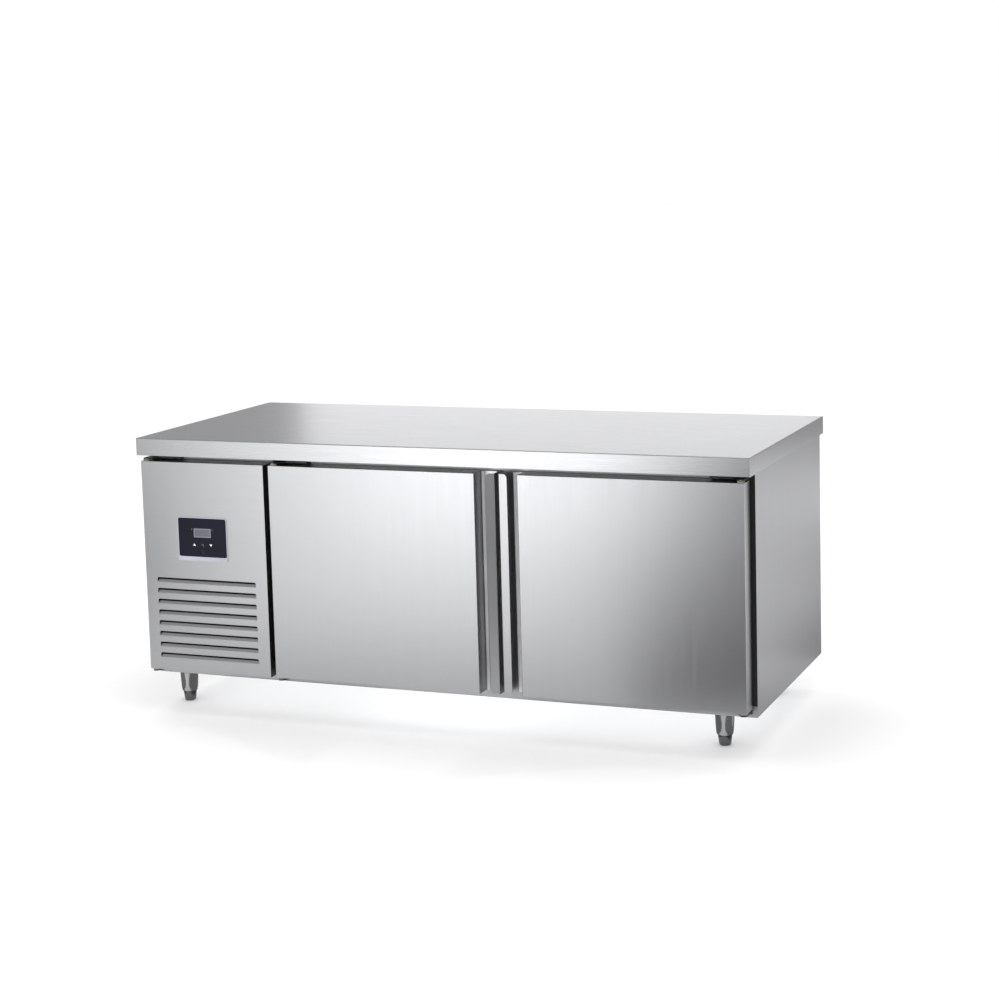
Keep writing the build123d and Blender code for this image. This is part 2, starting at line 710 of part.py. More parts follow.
def foot_adjuster(x, y):
    """Screwed-in foot: rounded at the floor, tapered outside the sleeve, plain inside it."""
    with BuildPart() as adjuster:
        with BuildSketch(Plane(origin=(x, y, 0), x_dir=(1, 0, 0), z_dir=(0, -1, 0))):
            with BuildLine():
                Polyline(
                    (0, 0),
                    (ADJUSTER_BOTTOM_RADIUS - ADJUSTER_FLOOR_INSET, 0),
                    (ADJUSTER_BOTTOM_RADIUS - ADJUSTER_CHAMFER, ADJUSTER_CHAMFER),
                    (ADJUSTER_BOTTOM_RADIUS, ADJUSTER_FLOOR_INSET),
                    (ADJUSTER_RADIUS, ADJUSTER_TAPER_TOP_Z),
                    (ADJUSTER_RADIUS, ADJUSTER_TOP_Z),
                    (0, ADJUSTER_TOP_Z),
                    close=True,
                )
            make_face()
        revolve(axis=Axis((x, y, 0), (0, 0, 1)))
        # two spanner flats
        for flat in (-1, 1):
            flat_y = y + flat * (ADJUSTER_RADIUS - SPANNER_FLAT_DEPTH)
            outside_y = y + flat * (ADJUSTER_RADIUS + CUT_PAST)
            block(
                (x - ADJUSTER_RADIUS, x + ADJUSTER_RADIUS),
                (flat_y, outside_y),
                (SPANNER_FLAT_LOW, SPANNER_FLAT_HIGH),
                Mode.SUBTRACT,
            )
    return adjuster


# ---------------------------------------------------------------- hinges
def bracket(pivot_x, direction, flip):
    """One bracket: a leg screwed to the rail, a plate with a rounded arm, and the hinge pin."""
    plate_near = DOOR_MIDDLE_Z + flip * (DOOR_TOP - DOOR_MIDDLE_Z + BRACKET_GAP)
    plate_far = plate_near + flip * BRACKET_PLATE
    leg_y = FACE_Y - BRACKET_LEG
    inner_x = pivot_x + direction * (BRACKET_LENGTH - BUSH_FLANGE_RADIUS)
    outer_x = pivot_x - direction * BUSH_FLANGE_RADIUS
    arm_x = pivot_x + direction * BRACKET_ARM
    shelf_y = FACE_Y - BRACKET_SHELF
    pin_inner = plate_near - flip * (BRACKET_GAP + BUSH_LENGTH - PIN_SHORT)
    pin_outer = plate_far + flip * PIN_HEAD
    with BuildPart() as piece:
        with BuildSketch(Plane.XY.offset(min(plate_near, plate_far))):
            with BuildLine():
                Polyline(
                    (outer_x, FACE_Y),
                    (outer_x, PIVOT_Y),
                    (pivot_x, PIVOT_Y - BUSH_FLANGE_RADIUS),
                    (pivot_x + direction * BUSH_FLANGE_RADIUS, PIVOT_Y),
                    (arm_x, shelf_y),
                    (inner_x, shelf_y),
                    (inner_x, FACE_Y),
                    close=True,
                )
            make_face()
            with Locations((pivot_x, PIVOT_Y)):
                Circle(BUSH_FLANGE_RADIUS)
        extrude(amount=BRACKET_PLATE)
        block(
            (outer_x, inner_x),
            (leg_y, FACE_Y),
            (plate_near - flip * BRACKET_LEG_BELOW, plate_far + flip * BRACKET_LEG_ABOVE),
        )
        upright_cylinder(pivot_x, PIVOT_Y, min(pin_inner, pin_outer), max(pin_inner, pin_outer), PIN_RADIUS)
        for screw_x in screw_positions(pivot_x, direction):
            with Locations(Location((screw_x, FACE_Y, screw_height(flip)), (90, 0, 0))):
                Cylinder(SCREW_SHANK, SCREW_HOLE_LENGTH, mode=Mode.SUBTRACT)
    return piece


def hinge_brackets():
    with BuildPart() as brackets:
        for pivot_x, direction in HINGES:
            for flip in (1, -1):
                add(bracket(pivot_x, direction, flip).part)
    return brackets


def hinge_screws():
    """Pan-head screws that hold the brackets to the rails."""
    shank_length = BRACKET_LEG + SHEET
    with BuildPart() as screws:
        for pivot_x, direction in HINGES:
            for flip in (1, -1):
                for screw_x in screw_positions(pivot_x, direction):
                    seat = Plane(
                        origin=(screw_x, FACE_Y - BRACKET_LEG, screw_height(flip)),
                        x_dir=(1, 0, 0),
                        z_dir=(0, -1, 0),
                    )
                    with BuildSketch(seat):
                        Circle(SCREW_HEAD)
                    extrude(amount=SCREW_HEAD_HEIGHT, taper=SCREW_HEAD_TAPER)
                    with BuildSketch(seat):
                        Circle(SCREW_SHANK)
                    extrude(amount=-shank_length)
    return screws


def door_bushes(pivot_x):
    """Flanged nylon bushes, one in the top and one in the bottom edge of a door."""
    with BuildPart() as bushes:
        for flip in (1, -1):
            edge = DOOR_MIDDLE_Z + flip * (DOOR_TOP - DOOR_MIDDLE_Z)
            for end, radius in (
                (edge + flip * BUSH_FLANGE, BUSH_FLANGE_RADIUS),
                (edge - flip * BUSH_LENGTH, BUSH_RADIUS),
            ):
                upright_cylinder(pivot_x, PIVOT_Y, min(edge, end), max(edge, end), radius)
        upright_cylinder(pivot_x, PIVOT_Y, BASE_Z, TOP_Z, BUSH_BORE, Mode.SUBTRACT)
    return bushes


def bush_pockets(pivot_x):
    """Cuts the room for both bushes out of the part being built."""
    upright_cylinder(pivot_x, PIVOT_Y, DOOR_TOP - BUSH_LENGTH, DOOR_TOP, BUSH_RADIUS, Mode.SUBTRACT)
    upright_cylinder(pivot_x, PIVOT_Y, DOOR_BOTTOM, DOOR_BOTTOM + BUSH_LENGTH, BUSH_RADIUS, Mode.SUBTRACT)


# ---------------------------------------------------------------- storage doors
def door_skin(side):
    """Front sheet with returns; the return at the pull stops at the seam with the pull profile."""
    pivot_x = door_x(side, DOOR_OUTER - PIVOT_INSET)
    with BuildPart() as skin:
        block(
            (door_x(side, PULL_WALL), door_x(side, DOOR_OUTER)),
            (DOOR_FRONT_Y, door_y(DOOR_THICK)),
            (DOOR_BOTTOM, DOOR_TOP),
        )
        fillet(skin.faces().sort_by(Axis.Y)[0].edges(), radius=DOOR_EDGE_RADIUS)
        block(
            (door_x(side, PULL_WALL + SHEET), door_x(side, DOOR_OUTER - SHEET)),
            (door_y(SHEET), door_y(DOOR_THICK)),
            (DOOR_BOTTOM + SHEET, DOOR_TOP - SHEET),
            Mode.SUBTRACT,
        )
        block(
            (door_x(side, PULL_WALL), door_x(side, PULL_WALL + SHEET)),
            (door_y(PULL_SEAM_DEPTH), door_y(DOOR_THICK)),
            (DOOR_BOTTOM, DOOR_TOP),
            Mode.SUBTRACT,
        )
        bush_pockets(pivot_x)
    return skin


def door_handle(side):
    """Folded pull: wall, floor and web of a channel open to the front, with a turned-back flange."""
    half = SHEET / 2
    with BuildPart() as handle:
        with BuildSketch(Plane.XY.offset(DOOR_BOTTOM)):
            with BuildLine() as fold:
                FilletPolyline(
                    (door_x(side, PULL_FLANGE), door_y(PULL_FLANGE_DEPTH + half)),
                    (door_x(side, DOOR_INNER + half), door_y(PULL_FOLD_DEPTH + half)),
                    (door_x(side, DOOR_INNER + half), door_y(PULL_DEPTH - half)),
                    (door_x(side, PULL_WALL + half), door_y(PULL_DEPTH - half)),
                    (door_x(side, PULL_WALL + half), door_y(PULL_SEAM_DEPTH)),
                    radius=[PULL_FOLD_RADIUS, PULL_CORNER, PULL_CORNER],
                )
            trace(fold.line, line_width=SHEET)
        extrude(amount=DOOR_TOP - DOOR_BOTTOM)
        # the flange's free edge is cut back at both ends
        for edge_z, direction in ((DOOR_TOP, -1), (DOOR_BOTTOM, 1)):
            with BuildSketch(Plane(origin=(0, DOOR_FRONT_Y, 0), x_dir=(1, 0, 0), z_dir=(0, -1, 0))):
                with BuildLine():
                    free_x = door_x(side, PULL_FLANGE + CUT_PAST)
                    root_x = door_x(side, PULL_FLANGE + CUT_PAST - PULL_CORNER_CUT)
                    corner_z = edge_z + direction * PULL_CORNER_CUT
                    Polyline((free_x, edge_z), (root_x, edge_z), (free_x, corner_z), close=True)
                make_face()
            extrude(amount=-PULL_FOLD_DEPTH - CUT_PAST, mode=Mode.SUBTRACT)
    return handle


def door_liner(side):
    """Inner door sheet; it wraps forward behind the pull and closes the thin strip there."""
    back = (door_y(DOOR_THICK - SHEET), door_y(DOOR_THICK))
    strip = (door_y(PULL_DEPTH), door_y(DOOR_THICK))
    with BuildPart() as liner:
        block(
            (door_x(side, DOOR_INNER), door_x(side, DOOR_OUTER - SHEET)),
            back,
            (DOOR_BOTTOM + SHEET, DOOR_TOP - SHEET),
        )
        block(
            (door_x(side, DOOR_INNER), door_x(side, DOOR_INNER + SHEET)),
            strip,
            (DOOR_BOTTOM + SHEET, DOOR_TOP - SHEET),
        )
        for low in (DOOR_BOTTOM, DOOR_TOP - SHEET):
            block((door_x(side, DOOR_INNER), door_x(side, PULL_WALL)), strip, (low, low + SHEET))
    return liner


def door_foam(side):
    pivot_x = door_x(side, DOOR_OUTER - PIVOT_INSET)
    with BuildPart() as foam:
        block(
            (door_x(side, PULL_WALL + SHEET), door_x(side, DOOR_OUTER - SHEET)),
            (door_y(SHEET), door_y(DOOR_THICK - SHEET)),
            (DOOR_BOTTOM + SHEET, DOOR_TOP - SHEET),
        )
        block(
            (door_x(side, DOOR_INNER + SHEET), door_x(side, PULL_WALL + SHEET)),
            (door_y(PULL_DEPTH), door_y(DOOR_THICK - SHEET)),
            (DOOR_BOTTOM + SHEET, DOOR_TOP - SHEET),
        )
        bush_pockets(pivot_x)
    return foam


def door_gasket(side):
    """Magnetic gasket: one closed ring with a grooved back and a soft rounded face."""
    width = DOOR_OUTER - DOOR_INNER - 2 * GASKET_INSET
    height = DOOR_TOP - DOOR_BOTTOM - 2 * GASKET_INSET
    middle_x = door_x(side, (DOOR_OUTER + DOOR_INNER) / 2)
    with BuildPart() as gasket:
        with BuildSketch(Plane.XZ.offset(-door_y(DOOR_THICK))):
            with Locations((middle_x, DOOR_MIDDLE_Z)):
                Rectangle(width, height)
                Rectangle(width - 2 * GASKET_WIDTH, height - 2 * GASKET_WIDTH, mode=Mode.SUBTRACT)
        extrude(amount=-GASKET_THICK)
        root_width = width - 2 * GASKET_ROOT_INSET
        root_height = height - 2 * GASKET_ROOT_INSET
        with BuildSketch(Plane.XZ.offset(-door_y(DOOR_THICK))):
            with Locations((middle_x, DOOR_MIDDLE_Z)):
                Rectangle(width + CUT_PAST, height + CUT_PAST)
                Rectangle(root_width, root_height, mode=Mode.SUBTRACT)
        extrude(amount=-GASKET_ROOT_DEPTH, mode=Mode.SUBTRACT)
    return gasket


# ---------------------------------------------------------------- machine door
def machine_panel():
    """Service door: a sheet tray with pressed louvres and the cut-out for the controller."""
    pivot_x = MACHINE_DOOR_LEFT + PIVOT_INSET
    opening_x = CONTROLLER_WIDTH / 2 - HOUSING_MARGIN
    opening_z = CONTROLLER_HEIGHT / 2 - HOUSING_MARGIN
    with BuildPart() as panel:
        block(
            (MACHINE_DOOR_LEFT, MACHINE_DOOR_RIGHT),
            (DOOR_FRONT_Y, door_y(DOOR_THICK)),
            (DOOR_BOTTOM, DOOR_TOP),
        )
        fillet(panel.faces().sort_by(Axis.Y)[0].edges(), radius=DOOR_EDGE_RADIUS)
        block(
            (MACHINE_DOOR_LEFT + SHEET, MACHINE_DOOR_RIGHT - SHEET),
            (door_y(SHEET), door_y(DOOR_THICK)),
            (DOOR_BOTTOM + SHEET, DOOR_TOP - SHEET),
            Mode.SUBTRACT,
        )
        for row in range(LOUVRE_COUNT):
            slot_top = LOUVRE_TOP_Z - row * LOUVRE_PITCH
            slot_bottom = slot_top - LOUVRE_HEIGHT
            x_low = MACHINE_DOOR_MIDDLE - LOUVRE_WIDTH / 2
            block(
                (x_low, x_low + LOUVRE_WIDTH),
                (DOOR_FRONT_Y - CUT_PAST, door_y(SHEET + CUT_PAST)),
                (slot_bottom, slot_top),
                Mode.SUBTRACT,
            )
            with BuildSketch(Plane.YZ.offset(x_low)):
                with BuildLine():
                    Polyline(
                        (DOOR_FRONT_Y, slot_bottom),
                        (door_y(SHEET), slot_bottom - SHEET),
                        (door_y(LOUVRE_LIP + SHEET), slot_bottom + LOUVRE_LIP - SHEET),
                        (door_y(LOUVRE_LIP), slot_bottom + LOUVRE_LIP),
                        close=True,
                    )
                make_face()
            extrude(amount=LOUVRE_WIDTH)
        block(
            (CONTROLLER_X - opening_x, CONTROLLER_X + opening_x),
            (DOOR_FRONT_Y - CUT_PAST, door_y(SHEET + CUT_PAST)),
            (CONTROLLER_Z - opening_z, CONTROLLER_Z + opening_z),
            Mode.SUBTRACT,
        )
        bush_pockets(pivot_x)
    return panel


def air_filter():
    """Washable filter behind the louvres: a frame with a coarse grid."""
    width = LOUVRE_WIDTH + 2 * FILTER_MARGIN
    louvre_span = (LOUVRE_COUNT - 1) * LOUVRE_PITCH + LOUVRE_HEIGHT
    height = louvre_span + 2 * FILTER_MARGIN
    middle_z = LOUVRE_TOP_Z - louvre_span / 2
    column = width / FILTER_COLUMNS
    row = height / FILTER_ROWS
    with BuildPart() as filter_pad:
        with BuildSketch(Plane.XZ.offset(-door_y(FILTER_DEPTH))):
            with Locations((MACHINE_DOOR_MIDDLE, middle_z)):
                RectangleRounded(width, height, FILTER_BAR)
                with GridLocations(column, row, FILTER_COLUMNS, FILTER_ROWS):
                    Rectangle(column - FILTER_BAR, row - FILTER_BAR, mode=Mode.SUBTRACT)
        extrude(amount=-FILTER_THICK)
        with BuildSketch(Plane.XZ.offset(-door_y(FILTER_SHEET_DEPTH))):
            with Locations((MACHINE_DOOR_MIDDLE, middle_z)):
                RectangleRounded(width - FILTER_BAR, height - FILTER_BAR, FILTER_BAR / 2)
        extrude(amount=-FILTER_SHEET)
    return filter_pad


def face_outline():
    """Adds the outline of the dark face, inside the bezel and above the bottom strip, to a sketch."""
    face_width = CONTROLLER_WIDTH - 2 * FACE_MARGIN
    face_height = CONTROLLER_HEIGHT - CONTROLLER_STRIP - FACE_MARGIN
    with Locations((CONTROLLER_X, CONTROLLER_Z + (CONTROLLER_STRIP - FACE_MARGIN) / 2)):
        RectangleRounded(face_width, face_height, FACE_CORNER)


def controller_housing():
    """Box behind the panel with a thin bezel on the front and a pale strip along the bottom."""
    box_width = CONTROLLER_WIDTH - 2 * (HOUSING_MARGIN + HOUSING_CLEARANCE)
    box_height = CONTROLLER_HEIGHT - 2 * (HOUSING_MARGIN + HOUSING_CLEARANCE)
    with BuildPart() as housing:
        with BuildSketch(Plane.XZ.offset(-DOOR_FRONT_Y)):
            with Locations((CONTROLLER_X, CONTROLLER_Z)):
                RectangleRounded(CONTROLLER_WIDTH, CONTROLLER_HEIGHT, HOUSING_CORNER)
        extrude(amount=BEZEL_PROUD)
        with BuildSketch(Plane.XZ.offset(-DOOR_FRONT_Y)):
            with Locations((CONTROLLER_X, CONTROLLER_Z)):
                Rectangle(box_width, box_height)
        extrude(amount=-HOUSING_DEPTH)
        with BuildSketch(Plane.XZ.offset(-DOOR_FRONT_Y + BEZEL_PROUD)):
            face_outline()
        extrude(amount=-FACE_THICK, mode=Mode.SUBTRACT)
        for _, key_x, key_z in KEYS:
            with BuildSketch(Plane.XZ.offset(-DOOR_FRONT_Y + BEZEL_PROUD)):
                with Locations((key_x, key_z)):
                    Circle(KEY_RADIUS + KEY_GAP)
            extrude(amount=-FACE_THICK - KEY_STEM - KEY_TRAVEL_ROOM, mode=Mode.SUBTRACT)
    return housing


def controller_face():
    """Dark glossy face with the display window and the key holes."""
    with BuildPart() as face:
        with BuildSketch(Plane.XZ.offset(-DOOR_FRONT_Y + BEZEL_PROUD - FACE_THICK)):
            face_outline()
            with Locations((CONTROLLER_X, DISPLAY_Z)):
                Rectangle(DISPLAY_WIDTH, DISPLAY_HEIGHT, mode=Mode.SUBTRACT)
            for _, key_x, key_z in KEYS:
                with Locations((key_x, key_z)):
                    Circle(KEY_RADIUS + KEY_GAP, mode=Mode.SUBTRACT)
        extrude(amount=FACE_THICK - FACE_SUNK)
    return face


def controller_display():
    with BuildPart() as display:
        with BuildSketch(Plane.XZ.offset(-DOOR_FRONT_Y + BEZEL_PROUD - FACE_THICK)):
            with Locations((CONTROLLER_X, DISPLAY_Z)):
                Rectangle(DISPLAY_WIDTH, DISPLAY_HEIGHT)
        extrude(amount=FACE_THICK - DISPLAY_SUNK)
    return display


def controller_key(key_x, key_z):
    """Short round key with room behind it for its travel."""
    front = -DOOR_FRONT_Y + BEZEL_PROUD
    with BuildPart() as key:
        with BuildSketch(Plane.XZ.offset(front - FACE_THICK - KEY_STEM)):
            with Locations((key_x, key_z)):
                Circle(KEY_RADIUS)
        extrude(amount=FACE_THICK + KEY_STEM)
        fillet(key.edges().group_by(Axis.Y)[0], radius=KEY_EDGE_RADIUS)
    return key


# ---------------------------------------------------------------- refrigeration
def compressor():
    """Welded pot with a base plate and a terminal box."""
    foot_z = COMPRESSOR_FOOT_Z
    pot_bottom = foot_z + POT_RISE
    pot_top = pot_bottom + COMPRESSOR_HEIGHT
    seam_z = pot_bottom + COMPRESSOR_HEIGHT * POT_SEAM_SHARE
    seam_radius = COMPRESSOR_RADIUS + POT_SEAM_PROUD
    terminal_x = COMPRESSOR_X + COMPRESSOR_RADIUS
    with BuildPart() as pot:
        with Locations((COMPRESSOR_X, COMPRESSOR_Y, (pot_bottom + pot_top) / 2)):
            Cylinder(COMPRESSOR_RADIUS, COMPRESSOR_HEIGHT)
        fillet(pot.edges().filter_by(GeomType.CIRCLE).group_by(Axis.Z)[-1], radius=POT_TOP_RADIUS)
        fillet(pot.edges().filter_by(GeomType.CIRCLE).group_by(Axis.Z)[0], radius=POT_BOTTOM_RADIUS)
        upright_cylinder(COMPRESSOR_X, COMPRESSOR_Y, seam_z, seam_z + POT_SEAM_WIDTH, seam_radius)
        with BuildSketch(Plane.XY.offset(foot_z)):
            with Locations((COMPRESSOR_X, COMPRESSOR_Y)):
                RectangleRounded(POT_PLATE_LENGTH, POT_PLATE_WIDTH, POT_PLATE_CORNER)
        extrude(amount=POT_PLATE)
        upright_cylinder(COMPRESSOR_X, COMPRESSOR_Y, foot_z, pot_bottom + POT_STEM_INSIDE, POT_STEM_RADIUS)
        block(
            (terminal_x - TERMINAL_INSIDE, terminal_x + TERMINAL_REACH),
            (COMPRESSOR_Y - TERMINAL_HALF_WIDTH, COMPRESSOR_Y + TERMINAL_HALF_WIDTH),
            (seam_z - TERMINAL_BOTTOM, seam_z - TERMINAL_TOP),
        )
        with BuildSketch(Plane.XY.offset(foot_z - CUT_PAST)):
            with Locations((COMPRESSOR_X, COMPRESSOR_Y)):
                with GridLocations(MOUNT_SPACING_X, MOUNT_SPACING_Y, 2, 2):
                    Circle(MOUNT_HOLE_RADIUS)
        extrude(amount=POT_PLATE + 2 * CUT_PAST, mode=Mode.SUBTRACT)
    return pot


def compressor_mounts():
    """Rubber mounts between the compressor's base plate and the base pan."""
    plate_top = COMPRESSOR_FOOT_Z + POT_PLATE
    with BuildPart() as mounts:
        for side_x in (-1, 1):
            for side_y in (-1, 1):
                x = COMPRESSOR_X + side_x * MOUNT_SPACING_X / 2
                y = COMPRESSOR_Y + side_y * MOUNT_SPACING_Y / 2
                upright_cylinder(x, y, INSIDE_BASE_Z, COMPRESSOR_FOOT_Z, MOUNT_RADIUS)
                upright_cylinder(x, y, COMPRESSOR_FOOT_Z, plate_top, MOUNT_NECK_RADIUS)
                upright_cylinder(x, y, plate_top, plate_top + MOUNT_CAP, MOUNT_CAP_RADIUS)
    return mounts


def condenser_coil():
    """Finned block between two end plates, with return bends on both sides."""
    fins_y = (CONDENSER_FRONT_Y + COIL_FIN_INSET, CONDENSER_BACK_Y - COIL_FIN_INSET)
    fins_z = (CONDENSER_BOTTOM + COIL_END_INSET, CONDENSER_TOP - COIL_END_INSET)
    bends_y = (CONDENSER_FRONT_Y + BEND_INSET, CONDENSER_BACK_Y - BEND_INSET)
    row_pitch = CONDENSER_HEIGHT / COIL_ROWS
    with BuildPart() as coil:
        block((CONDENSER_LEFT, CONDENSER_RIGHT), fins_y, fins_z)
        for plate_x in (CONDENSER_LEFT - COIL_PLATE, CONDENSER_RIGHT):
            block(
                (plate_x, plate_x + COIL_PLATE),
                (CONDENSER_FRONT_Y, CONDENSER_BACK_Y),
                (CONDENSER_BOTTOM, CONDENSER_TOP),
            )
        for end_x, outward in ((CONDENSER_LEFT - COIL_PLATE, -1), (CONDENSER_RIGHT + COIL_PLATE, 1)):
            for row in range(COIL_ROWS):
                bend_z = CONDENSER_BOTTOM + (row + 0.5) * row_pitch
                for tube_y in bends_y:
                    seat = Plane(origin=(end_x, tube_y, bend_z), x_dir=(0, 1, 0), z_dir=(outward, 0, 0))
                    with BuildSketch(seat):
                        Circle(BEND_RADIUS)
                    extrude(amount=BEND_REACH)
                block(
                    (end_x + outward * BEND_START, end_x + outward * BEND_REACH),
                    bends_y,
                    (bend_z - BEND_HALF, bend_z + BEND_HALF),
                )
    return coil


def condenser_shroud():
    """Sheet hood behind the condenser with a round opening for the fan, standing on two legs."""
    front_y = CONDENSER_BACK_Y
    back_y = FAN_PLANE_Y
    leg_back = (back_y - SHEET, back_y)
    leg_foot = (back_y - SHEET, back_y + SHROUD_LEG)
    with BuildPart() as shroud:
        block((CONDENSER_LEFT, CONDENSER_RIGHT), (front_y, back_y), (CONDENSER_BOTTOM, CONDENSER_TOP))
        block(
            (CONDENSER_LEFT + SHEET, CONDENSER_RIGHT - SHEET),
            (front_y, back_y - SHEET),
            (CONDENSER_BOTTOM + SHEET, CONDENSER_TOP - SHEET),
            Mode.SUBTRACT,
        )
        with BuildSketch(Plane.XZ.offset(-back_y - CUT_PAST)):
            with Locations((CONDENSER_X, CONDENSER_Z)):
                Circle(CONDENSER_FAN_RADIUS + FAN_CLEARANCE)
        extrude(amount=THROUGH_SHEET, mode=Mode.SUBTRACT)
        for leg_x in (CONDENSER_LEFT, CONDENSER_RIGHT - SHROUD_LEG):
            block((leg_x, leg_x + SHROUD_LEG), leg_back, (INSIDE_BASE_Z, CONDENSER_BOTTOM))
            block((leg_x, leg_x + SHROUD_LEG), leg_foot, (INSIDE_BASE_Z, INSIDE_BASE_Z + SHEET))
    return shroud


def fan_blades(hub_plane, radius, hub_radius, blade_width):
    """Axial fan: a hub and tilted blades trimmed to a circle."""
    with BuildPart(hub_plane) as fan:
        with PolarLocations((hub_radius + radius) / 2 - BLADE_SHIFT, BLADE_COUNT):
            Box(radius - hub_radius + BLADE_ROOT, blade_width, BLADE_THICK, rotation=(BLADE_TILT, 0, 0))
        Cylinder(radius, blade_width * 2, mode=Mode.INTERSECT)
        Cylinder(hub_radius, HUB_DEPTH)
        with Locations((0, 0, HUB_DEPTH / 2)):
            Cylinder(hub_radius - HUB_CAP_INSET, HUB_CAP)
    return fan


def condenser_fan():
    hub_y = FAN_PLANE_Y - CONDENSER_FAN_FORWARD
    hub_plane = Plane(origin=(CONDENSER_X, hub_y, CONDENSER_Z), x_dir=(1, 0, 0), z_dir=(0, -1, 0))
    return fan_blades(hub_plane, CONDENSER_FAN_RADIUS, CONDENSER_HUB_RADIUS, CONDENSER_BLADE_WIDTH)


def condenser_fan_motor():
    """Motor behind the fan, held to the shroud by four bent rods."""
    motor_front = FAN_PLANE_Y + MOTOR_BEHIND_FAN
    rod_y = motor_front + ROD_BEHIND
    with BuildPart() as motor:
        with BuildSketch(Plane.XZ.offset(-motor_front)):
            with Locations((CONDENSER_X, CONDENSER_Z)):
                Circle(MOTOR_RADIUS)
        extrude(amount=-MOTOR_LENGTH)
        fillet(motor.edges().filter_by(GeomType.CIRCLE), radius=MOTOR_EDGE_RADIUS)
        for sign_x in (-1, 1):
            for sign_z in (-1, 1):
                corner_x = CONDENSER_X + sign_x * ROD_RING * DIAGONAL
                corner_z = CONDENSER_Z + sign_z * ROD_RING * DIAGONAL
                with BuildLine() as rod_path:
                    FilletPolyline(
                        (CONDENSER_X + sign_x * ROD_NEAR, rod_y, CONDENSER_Z + sign_z * ROD_NEAR),
                        (corner_x, rod_y, corner_z),
                        (corner_x, FAN_PLANE_Y, corner_z),
                        radius=ROD_BEND,
                    )
                with BuildSketch(Plane(origin=(corner_x, FAN_PLANE_Y, corner_z), z_dir=(0, 1, 0))):
                    Circle(ROD_RADIUS)
                sweep(path=rod_path.wires()[0])
    return motor


def refrigerant_pipes():
    """Discharge, liquid and suction pipes, with the drier in the liquid line."""
    discharge = (
        (DISCHARGE_X, DISCHARGE_Y, DISCHARGE_START_Z),
        (DISCHARGE_X, DISCHARGE_Y, DISCHARGE_TOP_Z),
        (DISCHARGE_X, CONDENSER_PIPE_Y, DISCHARGE_TOP_Z),
        (DISCHARGE_X, CONDENSER_PIPE_Y, CONDENSER_PIPE_Z),
    )
    liquid = (
        (LIQUID_X, CONDENSER_PIPE_Y, CONDENSER_PIPE_Z),
        (LIQUID_X, CONDENSER_PIPE_Y, LIQUID_Z),
        (LIQUID_X, LIQUID_Y, LIQUID_Z),
        (PIPE_END_X, LIQUID_Y, LIQUID_Z),
    )
    suction = (
        (SUCTION_X, SUCTION_Y, SUCTION_START_Z),
        (SUCTION_X, SUCTION_Y, SUCTION_TOP_Z),
        (PIPE_END_X, SUCTION_Y, SUCTION_TOP_Z),
    )
    with BuildPart() as pipes:
        for route in (discharge, liquid, suction):
            with BuildLine() as pipe_path:
                Polyline(*route)
            with BuildSketch(Plane(origin=route[0], z_dir=(0, 0, 1))):
                Circle(PIPE_RADIUS)
            sweep(path=pipe_path.wires()[0], transition=Transition.ROUND)
        with Locations(Location((LIQUID_X, DRIER_Y, LIQUID_Z), (90, 0, 0))):
            Cylinder(DRIER_RADIUS, DRIER_LENGTH)
    return pipes


def drain_pan():
    """Tray under the condenser that catches and evaporates the defrost water."""
    x_low = CONDENSER_X - PAN_HALF_LENGTH
    x_high = CONDENSER_X + PAN_HALF_LENGTH
    y_high = CONDENSER_FRONT_Y + PAN_WIDTH
    rim_z = INSIDE_BASE_Z + PAN_HEIGHT
    with BuildPart() as pan:
        block((x_low, x_high), (CONDENSER_FRONT_Y, y_high), (INSIDE_BASE_Z, rim_z))
        fillet(pan.edges().filter_by(Axis.Z), radius=PAN_CORNER)
        block(
            (x_low + PAN_WALL, x_high - PAN_WALL),
            (CONDENSER_FRONT_Y + PAN_WALL, y_high - PAN_WALL),
            (INSIDE_BASE_Z + PAN_WALL, rim_z),
            Mode.SUBTRACT,
        )
    return pan


def electrical_box():
    """Connection box on the bulkhead, with an overhanging lid."""
    lid_x = BULKHEAD_X - ELECTRICAL_BOX_DEPTH
    with BuildPart() as box:
        block(
            (lid_x, BULKHEAD_X),
            (ELECTRICAL_BOX_FRONT_Y, ELECTRICAL_BOX_BACK_Y),
            (ELECTRICAL_BOX_BOTTOM, ELECTRICAL_BOX_TOP),
        )
        fillet(box.edges().filter_by(Axis.X), radius=ELECTRICAL_BOX_CORNER)
        block(
            (lid_x - ELECTRICAL_LID, lid_x),
            (ELECTRICAL_BOX_FRONT_Y - ELECTRICAL_LID, ELECTRICAL_BOX_BACK_Y + ELECTRICAL_LID),
            (ELECTRICAL_BOX_BOTTOM - ELECTRICAL_LID, ELECTRICAL_BOX_TOP + ELECTRICAL_LID),
        )
    return box


def gland_disc(start_y):
    """Plane facing the front at a given Y, for the discs of the gland."""
    return Plane(origin=(GLAND_X, start_y, GLAND_Z), x_dir=(1, 0, 0), z_dir=(0, 1, 0))


def cable_gland():
    """Gland through the rear cover, where the supply lead would enter."""
    with BuildPart() as gland:
        with BuildSketch(gland_disc(BACK_Y)):
            RegularPolygon(GLAND_HEX_RADIUS, 6)
        extrude(amount=GLAND_HEX)
        with BuildSketch(gland_disc(BACK_Y + GLAND_HEX)):
            Circle(GLAND_DOME_RADIUS)
        extrude(amount=GLAND_DOME, taper=GLAND_DOME_TAPER)
        with BuildSketch(gland_disc(BACK_Y)):
            Circle(GLAND_THREAD)
        extrude(amount=-GLAND_INSIDE)
        with BuildSketch(gland_disc(BACK_Y - GLAND_INSIDE - CUT_PAST)):
            Circle(GLAND_BORE)
        extrude(amount=GLAND_INSIDE + GLAND_HEX + GLAND_DOME + 2 * CUT_PAST, mode=Mode.SUBTRACT)
    return gland


